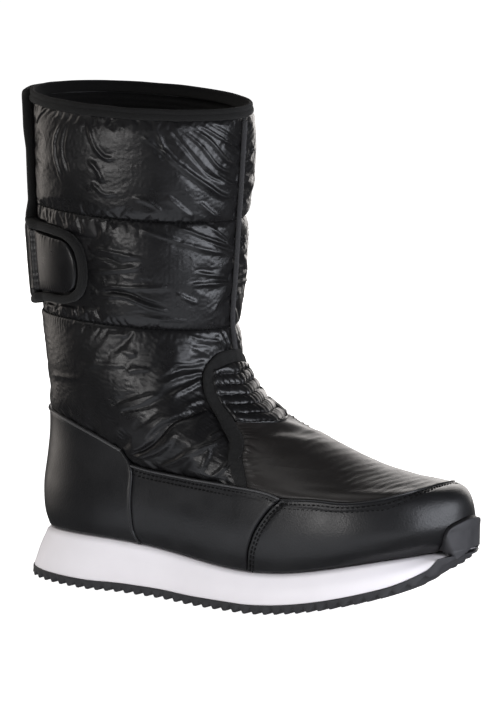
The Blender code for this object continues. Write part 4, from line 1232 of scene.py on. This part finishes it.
risen = (risen + 2.2 * smooth((10.75 - edgeLevel) / 0.3))[:, None]
flapSection = boundHeight(closurePlan["flapHigh"] + risen, 0.4)
bandAlong("flapBinding", flapEdge, 360, closurePlan["flapHalf"], flapSection, 0.3,
          knit, "knit_black", "closure_binding")

# Collar binding: a knit tape folded over the rim. Its section runs up the outside, over the top, down inside
collarPlan = {"leg": 4.8, "top": 2.2, "bend": 1.4, "thick": 1.9, "fold": -0.6, "foldDeep": 0.3,
              "ripple": 0.07, "columns": 320}


# Rows of the section, each at a side step along the normal and a height along the wall
def buildCollar():
    turn = np.linspace(0.0, 360.0, collarPlan["columns"], endpoint=False)
    level = np.full_like(turn, collarLevel)
    rim, out = skin(turn, level), outward(turn, level)
    up = unit(lastForm(turn, level) - lastForm(turn, level - 0.05))
    leg, bend = collarPlan["leg"], collarPlan["bend"]
    shoulder = collarPlan["top"] - bend
    heights = np.linspace(-leg, shoulder, 20)
    outSide = collarPlan["thick"] - 0.8 * bell((heights + leg) / 0.7) - 0.8 * smooth((heights + 3.0) / 3.8)
    outSide -= collarPlan["foldDeep"] * bell((heights - collarPlan["fold"]) / 0.45)
    bow = np.linspace(0.0, np.pi, 11)[1:-1]
    over = (outSide[-1] - 2.0) / 2 + (outSide[-1] + 2.0) / 2 * np.cos(bow)
    innerHeights = np.linspace(shoulder, -leg, 12)
    inSide = -2.0 - 2.4 * smooth((shoulder - innerHeights) / 7.0)
    side = np.concatenate([outSide, over, inSide, [-wall - gap, -wall - gap, 0.4, 0.4]])
    high = np.concatenate([heights, shoulder + bend * np.sin(bow), innerHeights, [-leg, -3.2, -3.2, -leg]])
    ripple = collarPlan["ripple"] * waveField(61, 8, (4, 18), (0, 0), turn, 0.0 * turn)
    rows = rim[None] + out[None] * side[:, None, None] + up[None] * (high[:, None] + ripple[None])[..., None]
    count, columns = len(side), len(turn)
    quads, places = sheetFaces(0, count + 1, columns, True, False)
    cloth = sheetCloth(np.concatenate([rows, rows[:1]]), places, True)
    addPiece("collarBinding", rows.reshape(-1, 3), quads % (count * columns), cloth, knit, "knit_black",
             "collar_binding")


buildCollar()
print("collar and closure built")

# Stage: a pale floor, six softboxes round the boot and a fill light for the foam
stagePlan = {"floor": 0.85, "glow": 1.0, "world": 0.06, "half": 14.0, "under": -0.0005}
white = (1.0, 1.0, 1.0, 1.0)
lightPlan = [
    ("overhead", (-0.85, -0.5, 2.0), (0.05, 0.0, 0.08), 1.7, 1.7, 8.0, (1.0, 0.99, 0.97)),
    ("behindHeel", (-1.6, 0.1, 0.5), (-0.08, 0.0, 0.17), 1.0, 1.6, 6.2, (1.0, 0.92, 0.85)),
    ("outerSide", (-0.29, -1.62, 0.25), (-0.03, 0.0, 0.12), 0.62, 0.48, 5.5, (1.0, 0.98, 0.97)),
    ("farRight", (1.5, 0.0, 0.3), (0.0, 0.0, 0.15), 1.7, 0.58, 18.0, (0.89, 0.92, 1.0)),
    ("backdrop", (-0.5, 1.5, 0.38), (0.05, 0.0, 0.1), 1.5, 0.75, 10.0, (1.0, 0.96, 0.93)),
    ("floorCard", (0.17, -0.25, 0.004), (0.17, -0.25, 1.0), 0.66, 0.3, 0.5, (0.9, 0.93, 1.0)),
]
fillLight = ("fill", (2.1, -0.8, 0.9), (0.08, 0.0, 0.05), 1.5, 1.5, 19.0, (1.0, 0.98, 1.0))


# Area light at a place, turned to face the point that it aims at
def addLight(name, place, aimAt, width, height, power, colour):
    data = bpy.data.lights.new(name, "AREA")
    data.shape = "RECTANGLE"
    data.size, data.size_y = width, height
    data.energy = power
    data.color = colour
    lamp = bpy.data.objects.new(name, data)
    scene.collection.objects.link(lamp)
    back = unit(np.array(place) - np.array(aimAt))
    across = unit(np.cross([0.0, 0.0, 1.0] if abs(back[2]) < 0.99 else [0.0, 1.0, 0.0], back))
    lamp.matrix_world = placedBy(across, np.cross(back, across), back, place)
    lamp.visible_camera = False
    return lamp


for lightRow in lightPlan:
    addLight(*lightRow)
addLight(*fillLight).visible_glossy = False      # brightens the foam without a mirror image on the black
world = bpy.data.worlds.new("studio")
world.use_nodes = True
surround = world.node_tree.nodes["Background"]
surround.inputs["Color"].default_value = white
surround.inputs["Strength"].default_value = stagePlan["world"]
scene.world = world
floorMesh = bpy.data.meshes.new("floor")
half, under = stagePlan["half"], stagePlan["under"]
corners = [(x * half, y * half, under) for x, y in ((-1, -1), (1, -1), (1, 1), (-1, 1))]
floorMesh.from_pydata(corners, [], [(0, 1, 2, 3)])
floorFinish, floorShader = newFinish("paleFloor", 0.9)
floorShader.inputs["Base Color"].default_value = (stagePlan["floor"],) * 3 + (1.0,)
floorShader.inputs["Emission Color"].default_value = white
floorShader.inputs["Emission Strength"].default_value = stagePlan["glow"]
floorMesh.materials.append(floorFinish)
floor = bpy.data.objects.new("floor", floorMesh)
scene.collection.objects.link(floor)
floor.visible_glossy = False      # the boot mirrors the dark studio, not the floor
print("stage lit")
